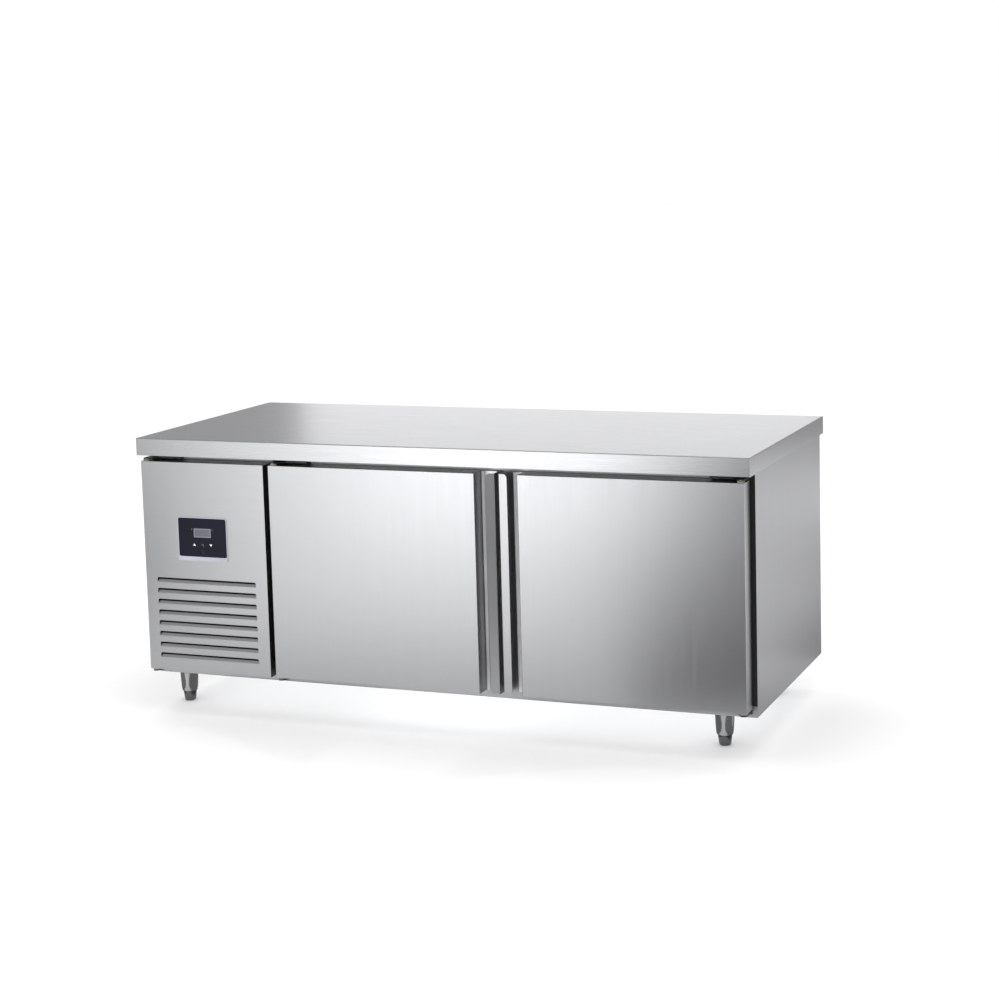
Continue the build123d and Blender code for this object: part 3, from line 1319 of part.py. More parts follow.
# ---------------------------------------------------------------- evaporator
def fan_guard_plane(x):
    """Plane facing +X with its origin on the axis of the evaporator fan."""
    return Plane(origin=(x, EVAPORATOR_FAN_Y, EVAPORATOR_FAN_Z), x_dir=(0, 1, 0), z_dir=(1, 0, 0))


def evaporator_cover():
    """Sheet cover hung in the top of the left bay, with a guarded fan opening."""
    x_high = BAY_LEFT + EVAPORATOR_DEPTH
    top_z = BAY_CEILING - LINER_COVE
    with BuildPart() as cover:
        block((BAY_LEFT, x_high), (EVAPORATOR_FRONT_Y, EVAPORATOR_BACK_Y), (EVAPORATOR_BOTTOM, top_z))
        block(
            (BAY_LEFT, x_high - SHEET),
            (EVAPORATOR_FRONT_Y + SHEET, EVAPORATOR_BACK_Y - SHEET),
            (EVAPORATOR_BOTTOM + SHEET, top_z - SHEET),
            Mode.SUBTRACT,
        )
        with BuildSketch(fan_guard_plane(x_high - SHEET - CUT_PAST)):
            Circle(EVAPORATOR_FAN_RADIUS + FAN_CLEARANCE)
        extrude(amount=THROUGH_SHEET, mode=Mode.SUBTRACT)
        with BuildSketch(fan_guard_plane(x_high - SHEET)):
            for ring in GUARD_RINGS:
                Circle(ring + GUARD_HALF_WIRE)
                Circle(ring - GUARD_HALF_WIRE, mode=Mode.SUBTRACT)
            spoke_from = GUARD_RINGS[0] - GUARD_HALF_WIRE
            spoke_to = EVAPORATOR_FAN_RADIUS + FAN_CLEARANCE + GUARD_HALF_WIRE
            with PolarLocations((spoke_from + spoke_to) / 2, GUARD_SPOKES):
                Rectangle(spoke_to - spoke_from, 2 * GUARD_HALF_WIRE)
        extrude(amount=SHEET)
        # air intake slots in the underside
        with BuildSketch(Plane.XY.offset(EVAPORATOR_BOTTOM - CUT_PAST)):
            with Locations((BAY_LEFT + EVAPORATOR_DEPTH / 2, EVAPORATOR_FAN_Y)):
                with GridLocations(1, INTAKE_PITCH, 1, INTAKE_SLOTS):
                    SlotOverall(INTAKE_LENGTH, INTAKE_WIDTH)
        extrude(amount=THROUGH_SHEET, mode=Mode.SUBTRACT)
    return cover


def evaporator_coil():
    """Finned block between two end plates that hang on the liner."""
    front_y = EVAPORATOR_FRONT_Y + FIN_BLOCK_INSET
    back_y = EVAPORATOR_BACK_Y - FIN_BLOCK_INSET
    with BuildPart() as coil:
        block(
            (FIN_BLOCK_LEFT, FIN_BLOCK_RIGHT),
            (front_y, back_y),
            (EVAPORATOR_BOTTOM + FIN_BLOCK_HEIGHT_INSET, BAY_CEILING - FIN_BLOCK_HEIGHT_INSET),
        )
        for plate_y in (front_y - FIN_PLATE, back_y):
            block(
                (BAY_LEFT, FIN_PLATE_RIGHT),
                (plate_y, plate_y + FIN_PLATE),
                (EVAPORATOR_BOTTOM + FIN_PLATE_HEIGHT_INSET, BAY_CEILING - FIN_PLATE_HEIGHT_INSET),
            )
    return coil


def evaporator_fan_motor():
    """Motor on a bar that spans the cover from front to back."""
    with BuildPart() as motor:
        with BuildSketch(fan_guard_plane(EVAPORATOR_MOTOR_X)):
            Circle(EVAPORATOR_MOTOR_RADIUS)
        extrude(amount=EVAPORATOR_MOTOR_LENGTH)
        block(
            (MOTOR_BAR_LEFT, MOTOR_BAR_RIGHT),
            (EVAPORATOR_FRONT_Y + SHEET, EVAPORATOR_BACK_Y - SHEET),
            (EVAPORATOR_FAN_Z - MOTOR_BAR_HALF_HEIGHT, EVAPORATOR_FAN_Z + MOTOR_BAR_HALF_HEIGHT),
        )
    return motor


def evaporator_fan():
    hub_plane = fan_guard_plane(EVAPORATOR_HUB_X)
    return fan_blades(hub_plane, EVAPORATOR_FAN_RADIUS, EVAPORATOR_HUB_RADIUS, EVAPORATOR_BLADE_WIDTH)


def main():
    os.makedirs("parts", exist_ok=True)
    save(worktop_skin(), "worktop_skin")
    save(worktop_core(), "worktop_core")
    save(side_panel(-1, SIDE_FLANGE), "left_side_panel")
    save(side_panel(1, RIGHT_POST), "right_side_panel")
    save(back_panel(), "back_panel")
    save(rear_cover(), "rear_cover")
    save(base_pan(), "base_pan")
    save(bulkhead_panel(), "bulkhead_panel")
    save(front_rail(1), "top_front_rail")
    save(front_rail(-1), "bottom_front_rail")
    save(centre_mullion(), "centre_mullion")
    save(cabinet_insulation(), "cabinet_insulation")
    save(inner_liner(), "inner_liner")
    save(shelf_strips(), "shelf_strips")
    save(shelf_clips(), "shelf_clips")
    save(foot_sleeves(), "foot_sleeves")
    save(hinge_brackets(), "hinge_brackets")
    save(hinge_screws(), "hinge_screws")
    save(compressor(), "compressor")
    save(compressor_mounts(), "compressor_mounts")
    save(condenser_coil(), "condenser_coil")
    save(condenser_shroud(), "condenser_shroud")
    save(condenser_fan_motor(), "condenser_fan_motor")
    save(condenser_fan(), "condenser_fan")
    save(refrigerant_pipes(), "refrigerant_pipes")
    save(drain_pan(), "drain_pan")
    save(electrical_box(), "electrical_box")
    save(cable_gland(), "cable_gland")
    save(evaporator_coil(), "evaporator_coil")
    save(evaporator_cover(), "evaporator_cover")
    save(evaporator_fan_motor(), "evaporator_fan_motor")
    save(evaporator_fan(), "evaporator_fan")
    for name, side in (("left", -1), ("right", 1)):
        save(door_skin(side), f"{name}_door_skin")
        save(door_handle(side), f"{name}_door_handle")
        save(door_liner(side), f"{name}_door_liner")
        save(door_foam(side), f"{name}_door_foam")
        save(door_gasket(side), f"{name}_door_gasket")
        save(door_bushes(door_x(side, DOOR_OUTER - PIVOT_INSET)), f"{name}_door_bushes")
    save(machine_panel(), "machine_panel")
    save(door_bushes(MACHINE_DOOR_LEFT + PIVOT_INSET), "machine_door_bushes")
    save(air_filter(), "air_filter")
    save(controller_housing(), "controller_housing")
    save(controller_face(), "controller_face")
    save(controller_display(), "controller_display")
    for name, key_x, key_z in KEYS:
        save(controller_key(key_x, key_z), name)
    for name, x_low, x_high in BAYS:
        save(shelf(x_low, x_high), f"{name}_shelf")
    for name, x, y in FEET:
        save(foot_adjuster(x, y), f"foot_adjuster_{name}")


main()
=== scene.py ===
import json
import math

import bmesh
import bpy
from mathutils import Matrix, Vector

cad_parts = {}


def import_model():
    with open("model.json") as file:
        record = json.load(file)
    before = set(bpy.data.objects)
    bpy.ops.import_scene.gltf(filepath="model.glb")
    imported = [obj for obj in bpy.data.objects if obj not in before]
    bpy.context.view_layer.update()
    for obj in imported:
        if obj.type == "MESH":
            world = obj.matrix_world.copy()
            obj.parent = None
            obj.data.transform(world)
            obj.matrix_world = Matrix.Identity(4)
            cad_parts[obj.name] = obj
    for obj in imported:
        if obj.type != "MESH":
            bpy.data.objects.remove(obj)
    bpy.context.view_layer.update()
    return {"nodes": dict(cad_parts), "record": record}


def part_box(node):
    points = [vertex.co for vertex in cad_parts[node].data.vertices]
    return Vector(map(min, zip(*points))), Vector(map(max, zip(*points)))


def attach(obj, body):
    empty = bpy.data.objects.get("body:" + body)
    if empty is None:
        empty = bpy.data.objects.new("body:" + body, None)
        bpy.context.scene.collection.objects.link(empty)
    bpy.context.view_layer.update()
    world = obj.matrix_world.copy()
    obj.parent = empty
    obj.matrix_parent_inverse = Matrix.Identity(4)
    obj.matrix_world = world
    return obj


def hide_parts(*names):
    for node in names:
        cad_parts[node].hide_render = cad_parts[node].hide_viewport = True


# Looks of the under counter fridge: camera, studio light, materials and finer pieces, all placed
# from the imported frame. Metres; +X to the viewer's right, the front faces -Y, +Z up.
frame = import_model()
MM = 0.001
SHEET = 1.2 * MM
# Stands an outline drawn in XY up in the XZ plane of the front.
STAND_UP = Matrix(((1, 0, 0), (0, 0, -1), (0, 1, 0))).to_4x4()


# ---- geometry helpers
def box(bm, low, high):
    """Adds a box between two corners."""
    middle = [(a + b) / 2 for a, b in zip(low, high)]
    size = [b - a for a, b in zip(low, high)]
    matrix = Matrix.Translation(middle) @ Matrix.Diagonal((*size, 1.0))
    bmesh.ops.create_cube(bm, size=1.0, matrix=matrix)


def round_edges(bm, radius, segments=3, angle=30.0):
    """Rounds every edge that turns by more than the angle, in degrees."""
    sharp = [e for e in bm.edges if e.is_manifold and e.calc_face_angle(0.0) > math.radians(angle)]
    bmesh.ops.bevel(
        bm, geom=sharp, offset=radius, segments=segments, profile=0.5, affect="EDGES", clamp_overlap=True
    )


def loft(bm, rings, closed=False):
    """Joins rings of points into one skin, capped at both ends unless it closes on itself."""
    loops = [[bm.verts.new(point) for point in ring] for ring in rings]
    pairs = list(zip(loops, loops[1:]))
    if closed:
        pairs.append((loops[-1], loops[0]))
    for lower, upper in pairs:
        count = len(lower)
        for i in range(count):
            j = (i + 1) % count
            bm.faces.new((lower[i], lower[j], upper[j], upper[i]))
    if not closed:
        bm.faces.new(loops[0][::-1])
        bm.faces.new(loops[-1])


def circle(radius, steps):
    turns = [math.tau * i / steps for i in range(steps)]
    return [(radius * math.cos(turn), radius * math.sin(turn)) for turn in turns]


def revolve(bm, matrix, profile, steps=48):
    """Turns (radius, height) points about the Z axis of the matrix."""
    rings = [[matrix @ Vector((x, y, z)) for x, y in circle(radius, steps)] for radius, z in profile]
    loft(bm, rings)


def rounded_rectangle(width, height, radius, steps=6):
    """Outline of a rectangle about the origin with rounded corners, anticlockwise."""
    points = []
    for quarter, (sign_x, sign_y) in enumerate(((1, 1), (-1, 1), (-1, -1), (1, -1))):
        centre_x = sign_x * (width / 2 - radius)
        centre_y = sign_y * (height / 2 - radius)
        for step in range(steps + 1):
            turn = (quarter + step / steps) * math.pi / 2
            points.append((centre_x + radius * math.cos(turn), centre_y + radius * math.sin(turn)))
    return points


def rounded_path(corners, radius, steps=8):
    """Points along straight runs that are joined by arcs of about the given radius."""
    corners = [Vector(corner) for corner in corners]
    points = [corners[0]]
    for before, corner, after in zip(corners, corners[1:], corners[2:]):
        back = (before - corner).normalized()
        ahead = (after - corner).normalized()
        half = back.angle(ahead) / 2
        shorter_run = min((before - corner).length, (after - corner).length)
        reach = min(radius / math.tan(half), 0.49 * shorter_run)
        start = corner + back * reach
        end = corner + ahead * reach
        for step in range(steps + 1):
            t = step / steps
            points.append(start.lerp(corner, t).lerp(corner.lerp(end, t), t))
    points.append(corners[-1])
    return points


def tube(bm, path, radius, sides=12, closed=False):
    """Sweeps a circle along a path of points."""
    path = [Vector(point) for point in path]
    count = len(path)
    rings = []
    side = None
    for i, point in enumerate(path):
        before = path[i - 1] if i or closed else point
        after = path[(i + 1) % count] if i + 1 < count or closed else point
        tangent = (after - before).normalized()
        if side is None:
            side = tangent.orthogonal().normalized()
        side = (side - tangent * side.dot(tangent)).normalized()
        up = tangent.cross(side)
        rings.append([point + side * x + up * y for x, y in circle(radius, sides)])
    loft(bm, rings, closed)


def cut_sheet(outlines, thickness, rim=0.0):
    """A flat sheet about the XY plane: the first outline is its edge, the others are holes."""
    curve = bpy.data.curves.new("cut_sheet", "CURVE")
    curve.dimensions = "2D"
    curve.fill_mode = "BOTH"
    curve.extrude = thickness / 2 - rim
    curve.bevel_depth = rim
    curve.bevel_resolution = 1
    curve.offset = -rim
    for outline in outlines:
        spline = curve.splines.new("POLY")
        spline.points.add(len(outline) - 1)
        for point, (x, y) in zip(spline.points, outline):
            point.co = (x, y, 0.0, 1.0)
        spline.use_cyclic_u = True
    holder = bpy.data.objects.new("cut_sheet", curve)
    mesh = bpy.data.meshes.new_from_object(holder)
    bm = bmesh.new()
    bm.from_mesh(mesh)
    bpy.data.objects.remove(holder)
    bpy.data.curves.remove(curve)
    bpy.data.meshes.remove(mesh)
    bmesh.ops.remove_doubles(bm, verts=bm.verts, dist=1e-6)
    return bm


def offset_line(points, distance):
    """A 2-D line moved sideways by a distance, corners mitred."""
    moved = []
    for i, point in enumerate(points):
        before = points[max(i - 1, 0)]
        after = points[min(i + 1, len(points) - 1)]
        first = (point - before).normalized() if i else (after - point).normalized()
        second = (after - point).normalized() if i + 1 < len(points) else first
        normal = Vector((-(first.y + second.y), first.x + second.x)).normalized()
        moved.append(point + normal * distance / max(normal.dot(Vector((-first.y, first.x))), 0.5))
    return moved


def sheet_outline(line, thickness):
    """Outline of a bent sheet whose middle follows a line."""
    return offset_line(line, thickness / 2) + offset_line(line, -thickness / 2)[::-1]


def rectangle_sweep(bm, low, high, profile, place):
    """Sweeps (inward, depth) points round a rectangle; place turns (a, b, depth) into a point."""
    (low_a, low_b), (high_a, high_b) = low, high
    corners = ((low_a, low_b, 1, 1), (high_a, low_b, -1, 1), (high_a, high_b, -1, -1), (low_a, high_b, 1, -1))
    rings = []
    for a, b, da, db in corners:
        rings.append([place(a + da * inward, b + db * inward, depth) for inward, depth in profile])
    loft(bm, rings, closed=True)


def shifted(outline, x, y):
    return [(x + px, y + py) for px, py in outline]


def front_centre(low, high):
    return (low.x + high.x) / 2, (low.z + high.z) / 2


def front_outline(low, high, inset, radius, steps=6):
    """Rounded outline of a box seen from the front, drawn in by an inset on every side."""
    outline = rounded_rectangle(high.x - low.x - 2 * inset, high.z - low.z - 2 * inset, radius, steps)
    return shifted(outline, *front_centre(low, high))


def front_plate(outlines, front_y, thickness, rim):
    """A cut sheet standing in the XZ plane with its front at front_y."""
    sheet = cut_sheet(outlines, thickness, rim)
    matrix = Matrix.Translation((0, front_y + thickness / 2, 0)) @ STAND_UP
    bmesh.ops.transform(sheet, matrix=matrix, verts=sheet.verts)
    return sheet


def add_mesh(bm, other):
    """Moves the faces of another bmesh into this one."""
    mesh = bpy.data.meshes.new("part")
    other.to_mesh(mesh)
    other.free()
    bm.from_mesh(mesh)
    bpy.data.meshes.remove(mesh)


def piece(name, bm, body, slot, *nodes, material=None, smooth=35.0):
    """Makes the finished object: smooth shading, its body, its material slot and what it replaces."""
    bmesh.ops.recalc_face_normals(bm, faces=bm.faces)
    mesh = bpy.data.meshes.new(name)
    bm.to_mesh(mesh)
    bm.free()
    mesh.materials.append(material or MATERIALS[slot])
    mesh.shade_smooth()
    mesh.set_sharp_from_angle(angle=math.radians(smooth))
    obj = bpy.data.objects.new(name, mesh)
    bpy.context.scene.collection.objects.link(obj)
    normals = obj.modifiers.new("normals", "WEIGHTED_NORMAL")
    normals.keep_sharp = True
    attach(obj, body)
    if nodes:
        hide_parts(*nodes)
    return obj


def rounded_block(name, low, high, edge, body, slot, *nodes, segments=2, material=None):
    """One flat piece between two corners, its edges rounded."""
    bm = bmesh.new()
    box(bm, low, high)
    round_edges(bm, edge, segments)
    piece(name, bm, body, slot, *nodes, material=material)


# ---- materials
class Material:
    """A Principled material with small helpers for its node tree."""

    def __init__(self, name, colour, metallic, roughness):
        self.material = bpy.data.materials.new(name)
        self.material.use_nodes = True
        self.tree = self.material.node_tree
        self.shader = self.tree.nodes["Principled BSDF"].inputs
        self.feed(self.shader["Base Color"], (*colour, 1.0))
        self.feed(self.shader["Metallic"], metallic)
        self.feed(self.shader["Roughness"], roughness)
        self.place = self.node("ShaderNodeTexCoord", {}).outputs["Object"]
        self.normal = None

    def feed(self, target, value):
        """Links an output to an input, or sets the input's own value."""
        if isinstance(value, bpy.types.NodeSocket):
            self.tree.links.new(value, target)
        else:
            target.default_value = value

    def node(self, kind, inputs, **settings):
        made = self.tree.nodes.new(kind)
        for key, value in settings.items():
            setattr(made, key, value)
        for key, value in inputs.items():
            self.feed(made.inputs[key], value)
        return made

    def maths(self, operation, *values):
        return self.node("ShaderNodeMath", dict(enumerate(values)), operation=operation).outputs["Value"]

    def noise(self, scale, stretch=(1.0, 1.0, 1.0), detail=3.0):
        mapped = self.node("ShaderNodeMapping", {"Vector": self.place, "Scale": stretch}).outputs["Vector"]
        inputs = {"Vector": mapped, "Scale": scale, "Detail": detail, "Roughness": 0.6}
        return self.node("ShaderNodeTexNoise", inputs).outputs["Fac"]

    def voronoi(self, scale, output="Distance"):
        return self.node("ShaderNodeTexVoronoi", {"Vector": self.place, "Scale": scale}).outputs[output]

    def ranged(self, value, low, high, from_low=0.3, from_high=0.7):
        inputs = {"Value": value, "From Min": from_low, "From Max": from_high, "To Min": low, "To Max": high}
        return self.node("ShaderNodeMapRange", inputs).outputs["Result"]

    def tint(self, value, dark, light):
        """Base colour between two colours, driven by a 0 to 1 value."""
        inputs = {0: value, 6: (*dark, 1.0), 7: (*light, 1.0)}
        mix = self.node("ShaderNodeMix", inputs, data_type="RGBA")
        self.feed(self.shader["Base Color"], mix.outputs[2])

    def bump(self, height, strength, distance):
        """Adds a bump on top of those already there."""
        inputs = {"Height": height, "Strength": strength, "Distance": distance}
        if self.normal:
            inputs["Normal"] = self.normal
        self.normal = self.node("ShaderNodeBump", inputs).outputs["Normal"]
        self.feed(self.shader["Normal"], self.normal)

    def vary_roughness(self, value, low, high):
        self.feed(self.shader["Roughness"], self.ranged(value, low, high))


def toned(colour, factor):
    return tuple(min(1.0, channel * factor) for channel in colour)


def brushed_steel(name, colour, roughness, grain, depth=1.0):
    """Brushed stainless: fine streaks along the grain axis, and the slow waves of thin sheet."""
    made = Material(name, colour, 1.0, roughness)
    fine, coarse = [900.0] * 3, [140.0] * 3
    fine["XYZ".index(grain)] = 4.8
    coarse["XYZ".index(grain)] = 0.84
    streaks = made.noise(1.0, fine, detail=2.0)
    bands = made.noise(1.0, coarse, detail=3.0)
    waves = made.noise(2.6, detail=1.0)
    made.tint(made.ranged(bands, 0.0, 1.0), toned(colour, 0.99), toned(colour, 1.008))
    made.vary_roughness(streaks, roughness - 0.03, roughness + 0.04)
    made.bump(waves, 0.08 * depth, 1.2 * MM)
    made.bump(streaks, 0.03 * depth, 0.12 * MM)
    return made.material


def sheet_metal(name, colour, roughness):
    """Galvanised sheet with a faint spangle."""
    made = Material(name, colour, 1.0, roughness)
    spangle = made.node("ShaderNodeRGBToBW", {"Color": made.voronoi(55.0, "Color")}).outputs["Val"]
    made.tint(spangle, toned(colour, 0.86), toned(colour, 1.08))
    made.vary_roughness(spangle, roughness - 0.07, roughness + 0.07)
    made.bump(made.noise(3.0, detail=1.0), 0.4, 1.5 * MM)
    made.bump(made.noise(420.0), 0.12, 0.2 * MM)
    return made.material


def coated(name, colour, roughness, worn=None, peel=260.0):
    """Painted or powder-coated metal with orange peel, worn on its raised edges."""
    made = Material(name, colour, 0.0, roughness)
    made.bump(made.noise(peel, detail=2.0), 0.25, 0.3 * MM)
    made.vary_roughness(made.noise(30.0), roughness - 0.08, roughness + 0.1)
    if worn:
        pointiness = made.node("ShaderNodeNewGeometry", {}).outputs["Pointiness"]
        edge = made.ranged(pointiness, 0.0, 1.0, 0.53, 0.62)
        patches = made.ranged(made.noise(70.0), 0.0, 1.0, 0.45, 0.6)
        made.tint(made.maths("MULTIPLY", edge, patches), colour, worn)
    else:
        made.tint(made.ranged(made.noise(12.0), 0.0, 1.0), toned(colour, 0.88), toned(colour, 1.1))
    return made.material


def plastic(name, colour, roughness, depth=0.12, specular=0.5):
    """Moulded plastic or rubber: fine grain and slight tone change."""
    made = Material(name, colour, 0.0, roughness)
    made.tint(made.ranged(made.noise(9.0), 0.0, 1.0), toned(colour, 0.9), toned(colour, 1.08))
    made.vary_roughness(made.noise(60.0), roughness - 0.05, roughness + 0.06)
    made.bump(made.noise(700.0, detail=2.0), depth, 0.15 * MM)
    made.feed(made.shader["Specular IOR Level"], specular)
    return made.material


def foam(name, colour):
    """Cut insulation foam with open cells."""
    made = Material(name, colour, 0.0, 0.9)
    made.tint(made.ranged(made.noise(6.0), 0.0, 1.0), toned(colour, 0.8), colour)
    made.bump(made.voronoi(320.0), 0.5, 0.6 * MM)
    return made.material


def board(name, colour):
    """Plywood core: fibres along X."""
    made = Material(name, colour, 0.0, 0.8)
    fibre = made.noise(1.0, (14.0, 240.0, 240.0), detail=5.0)
    made.tint(made.ranged(fibre, 0.0, 1.0), toned(colour, 0.7), toned(colour, 1.1))
    made.bump(fibre, 0.3, 0.3 * MM)
    return made.material


def woven(name, colour, pitch):
    """Fine woven mesh: crossing threads from two sine waves."""
    made = Material(name, colour, 0.0, 0.75)
    split = made.node("ShaderNodeSeparateXYZ", {"Vector": made.place})
    turns = [made.maths("MULTIPLY", split.outputs[axis], math.tau / pitch) for axis in "XZ"]
    waves = [made.maths("SINE", turn) for turn in turns]
    threads = made.maths("MAXIMUM", *waves)
    made.tint(made.ranged(threads, 0.0, 1.0, -0.4, 1.0), toned(colour, 0.15), toned(colour, 1.3))
    made.bump(threads, 0.6, 0.5 * MM)
    return made.material


STEEL = (0.44, 0.445, 0.455)
PALE_METAL = (0.62, 0.63, 0.64)
NEAR_BLACK = (0.012, 0.012, 0.012)
KEY_BLUE = (0.004, 0.005, 0.013)
# Each record slot: how its material is made, its colour, its roughness and further settings.
FINISHES = {
    "worktop_steel": (brushed_steel, STEEL, 0.29, "X"),
    "body_steel": (brushed_steel, STEEL, 0.34, "Z"),
    "door_steel": (brushed_steel, STEEL, 0.31, "Z"),
    "rear_steel": (sheet_metal, (0.50, 0.52, 0.54), 0.42),
    "liner_steel": (brushed_steel, (0.62, 0.625, 0.63), 0.36, "Z", 0.25),
    "core_board": (board, (0.42, 0.30, 0.17)),
    "foam": (foam, (0.82, 0.72, 0.42)),
    "gasket_rubber": (plastic, (0.010, 0.010, 0.011), 0.55, 0.2),
    "bracket_metal": (coated, (0.012, 0.012, 0.013), 0.38, (0.22, 0.22, 0.22)),
    "screw_steel": (brushed_steel, (0.45, 0.45, 0.44), 0.3, "X"),
    "bush_plastic": (plastic, (0.30, 0.25, 0.16), 0.45),
    "foot_steel": (brushed_steel, (0.42, 0.425, 0.43), 0.14, "Z", 0.3),
    "adjuster_steel": (brushed_steel, (0.13, 0.135, 0.14), 0.24, "Z"),
    "shelf_wire": (coated, PALE_METAL, 0.3, None, 500.0),
    "compressor_paint": (coated, NEAR_BLACK, 0.3, (0.10, 0.10, 0.10)),
    "mount_rubber": (plastic, (0.015, 0.015, 0.015), 0.7, 0.3),
    "coil_aluminium": (brushed_steel, PALE_METAL, 0.35, "Z"),
    "copper_pipe": (brushed_steel, (0.58, 0.26, 0.14), 0.3, "Z"),
    "fan_plastic": (plastic, (0.014, 0.014, 0.015), 0.4),
    "motor_metal": (coated, (0.10, 0.105, 0.11), 0.4, (0.3, 0.3, 0.3)),
    "filter_mesh": (woven, (0.010, 0.010, 0.011), 1.6 * MM),
    "box_plastic": (plastic, (0.26, 0.27, 0.28), 0.5),
    "bezel_plastic": (plastic, (0.40, 0.40, 0.47), 0.3),
    "face_plastic": (plastic, KEY_BLUE, 0.35, 0.04, 0.18),
    "display_panel": (plastic, (0.10, 0.105, 0.13), 0.3, 0.03),
    "key_plastic": (plastic, KEY_BLUE, 0.35, 0.04, 0.18),
    "pan_plastic": (plastic, (0.035, 0.035, 0.037), 0.5),
    "gland_plastic": (plastic, NEAR_BLACK, 0.5),
}
MATERIALS = {slot: make(slot, *values) for slot, (make, *values) in FINISHES.items()}
ICON_WHITE = plastic("icon_white", (0.80, 0.80, 0.82), 0.4, depth=0.02)
ICON_GREY = plastic("icon_grey", (0.20, 0.20, 0.23), 0.4, depth=0.02)
ICON_RED = plastic("icon_red", (0.09, 0.010, 0.016), 0.4, depth=0.02)
PANEL_STEEL = brushed_steel("panel_steel", STEEL, 0.31, "X")
# Painted highlight: a pale non-metal coat for the pulls' channel floors, in place of the lit steel there.
PAINTED_HIGHLIGHT_STRIP = coated("painted_highlight_strip", (0.74, 0.74, 0.77), 0.4, peel=600.0)
BORDER_GREY = plastic("border_grey", (0.17, 0.175, 0.21), 0.3, depth=0.02)


def dress_cad_nodes():
    """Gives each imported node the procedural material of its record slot."""
    for row in frame["record"]["subparts"]:
        slots = frame["nodes"][row["node"]].data.materials
        slots.clear()
        slots.append(MATERIALS[row["material_slot"]])


# ---- worktop
def worktop():
    """Folded slab: rounded top edge and corners, a soft lower fold, and a lip turned in below."""
    low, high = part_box("worktop_skin")
    size = high - low
    lip, corner = 22 * MM, 3 * MM
    steps = (
        (lip, 3 * MM), (lip, 0.0), (1.6 * MM, 0.0), (0.5 * MM, 0.3 * MM), (0.0, 1.2 * MM),
        (0.0, size.z - 2.6 * MM), (0.2 * MM, size.z - 1.6 * MM), (0.8 * MM, size.z - 0.7 * MM),
        (1.7 * MM, size.z - 0.15 * MM), (2.8 * MM, size.z),
    )
    centre = (low + high) / 2
    rings = []
    for inset, height in steps:
        outline = rounded_rectangle(size.x - 2 * inset, size.y - 2 * inset, max(corner - inset, 0.4 * MM))
        rings.append([(centre.x + x, centre.y + y, low.z + height) for x, y in outline])
    bm = bmesh.new()
    loft(bm, rings)
    piece("worktop", bm, "cabinet", "worktop_steel", "worktop_skin")


# ---- storage doors
PULL_FLANGE = 23.7 * MM
PULL_SEAM_DEPTH = 9.3 * MM
PULL_END_RADIUS = 11 * MM
PULL_END_STEPS = 10


def pull_section(side, low, high, fold_drop, corner_radius, cut_back):
    """Outline of the folded channel seen from above, its flange shortened by cut_back."""
    meeting, wall = (high.x, low.x) if side < 0 else (low.x, high.x)
    half = SHEET / 2
    corners = (
        (meeting + side * (PULL_FLANGE - cut_back), low.y + half + fold_drop * cut_back / PULL_FLANGE),
        (meeting + side * half, low.y + half + fold_drop),
        (meeting + side * half, high.y - half),
        (wall - side * half, high.y - half),
        (wall - side * half, low.y + PULL_SEAM_DEPTH),
    )
    centre = [Vector((x, y, 0.0)) for x, y in corners]
    line = rounded_path(centre[:3], 1.3 * MM, 5)[:-1] + rounded_path(centre[1:], corner_radius, 9)[1:]
    return sheet_outline([point.to_2d() for point in line], SHEET)


def pull(side_name, side, fold_drop, corner_radius):
    """Folded pull: wall, floor and web of a channel with a turned-back flange, ends rounded."""
    node = f"{side_name}_door_handle"
    low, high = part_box(node)
    radius = PULL_END_RADIUS
    turns = [step / PULL_END_STEPS * math.pi / 2 for step in range(PULL_END_STEPS + 1)]
    ends = [(radius * (1 - math.cos(turn)), radius * (1 - math.sin(turn))) for turn in turns]
    levels = [(low.z + drop, cut) for drop, cut in ends] + [(high.z - drop, cut) for drop, cut in ends[::-1]]
    rings = []
    for z, cut in levels:
        section = pull_section(side, low, high, fold_drop, corner_radius, cut)
        rings.append([(x, y, z) for x, y in section])
    bm = bmesh.new()
    loft(bm, rings)
    piece(f"{side_name}_pull", bm, f"{side_name}_door", "door_steel", node, smooth=50.0)
    pull_painted_light_strips(side_name, side, low, high)


def pull_painted_light_strips(side_name, side, low, high):
    """Painted highlight and painted shade: a pale non-metal strip on the channel's floor stands in for the
    lit steel there, and in the right pull a black strip beside its wall stands in for the shadow of the seam.
    """
    body = f"{side_name}_door"
    wall = low.x if side < 0 else high.x
    reach = 12 * MM if side < 0 else 0.5 * (high.x - low.x)
    x_low, x_high = sorted((wall - side * SHEET, wall - side * (SHEET + reach)))
    floor_y = high.y - SHEET
    z_low, z_high = low.z + 1 * MM, high.z - 1 * MM
    strip = (x_low, floor_y - 0.9 * MM, z_low), (x_high, floor_y - 0.1 * MM, z_high)
    # Painted highlight: pale strip on the channel's floor, in place of the lit steel.
    rounded_block(f"{side_name}_pull_painted_highlight_strip", *strip, 0.2 * MM, body, "door_steel", material=PAINTED_HIGHLIGHT_STRIP)
    if side > 0:
        # Painted shade: black strip beside the right pull's wall, in place of the shadow there.
        seam = (wall - 3.4 * MM, low.y + 0.3 * MM, z_low), (wall - 0.2 * MM, low.y + PULL_SEAM_DEPTH, z_high)
        rounded_block(f"{side_name}_pull_painted_shade_strip", *seam, 0.3 * MM, body, "gasket_rubber")


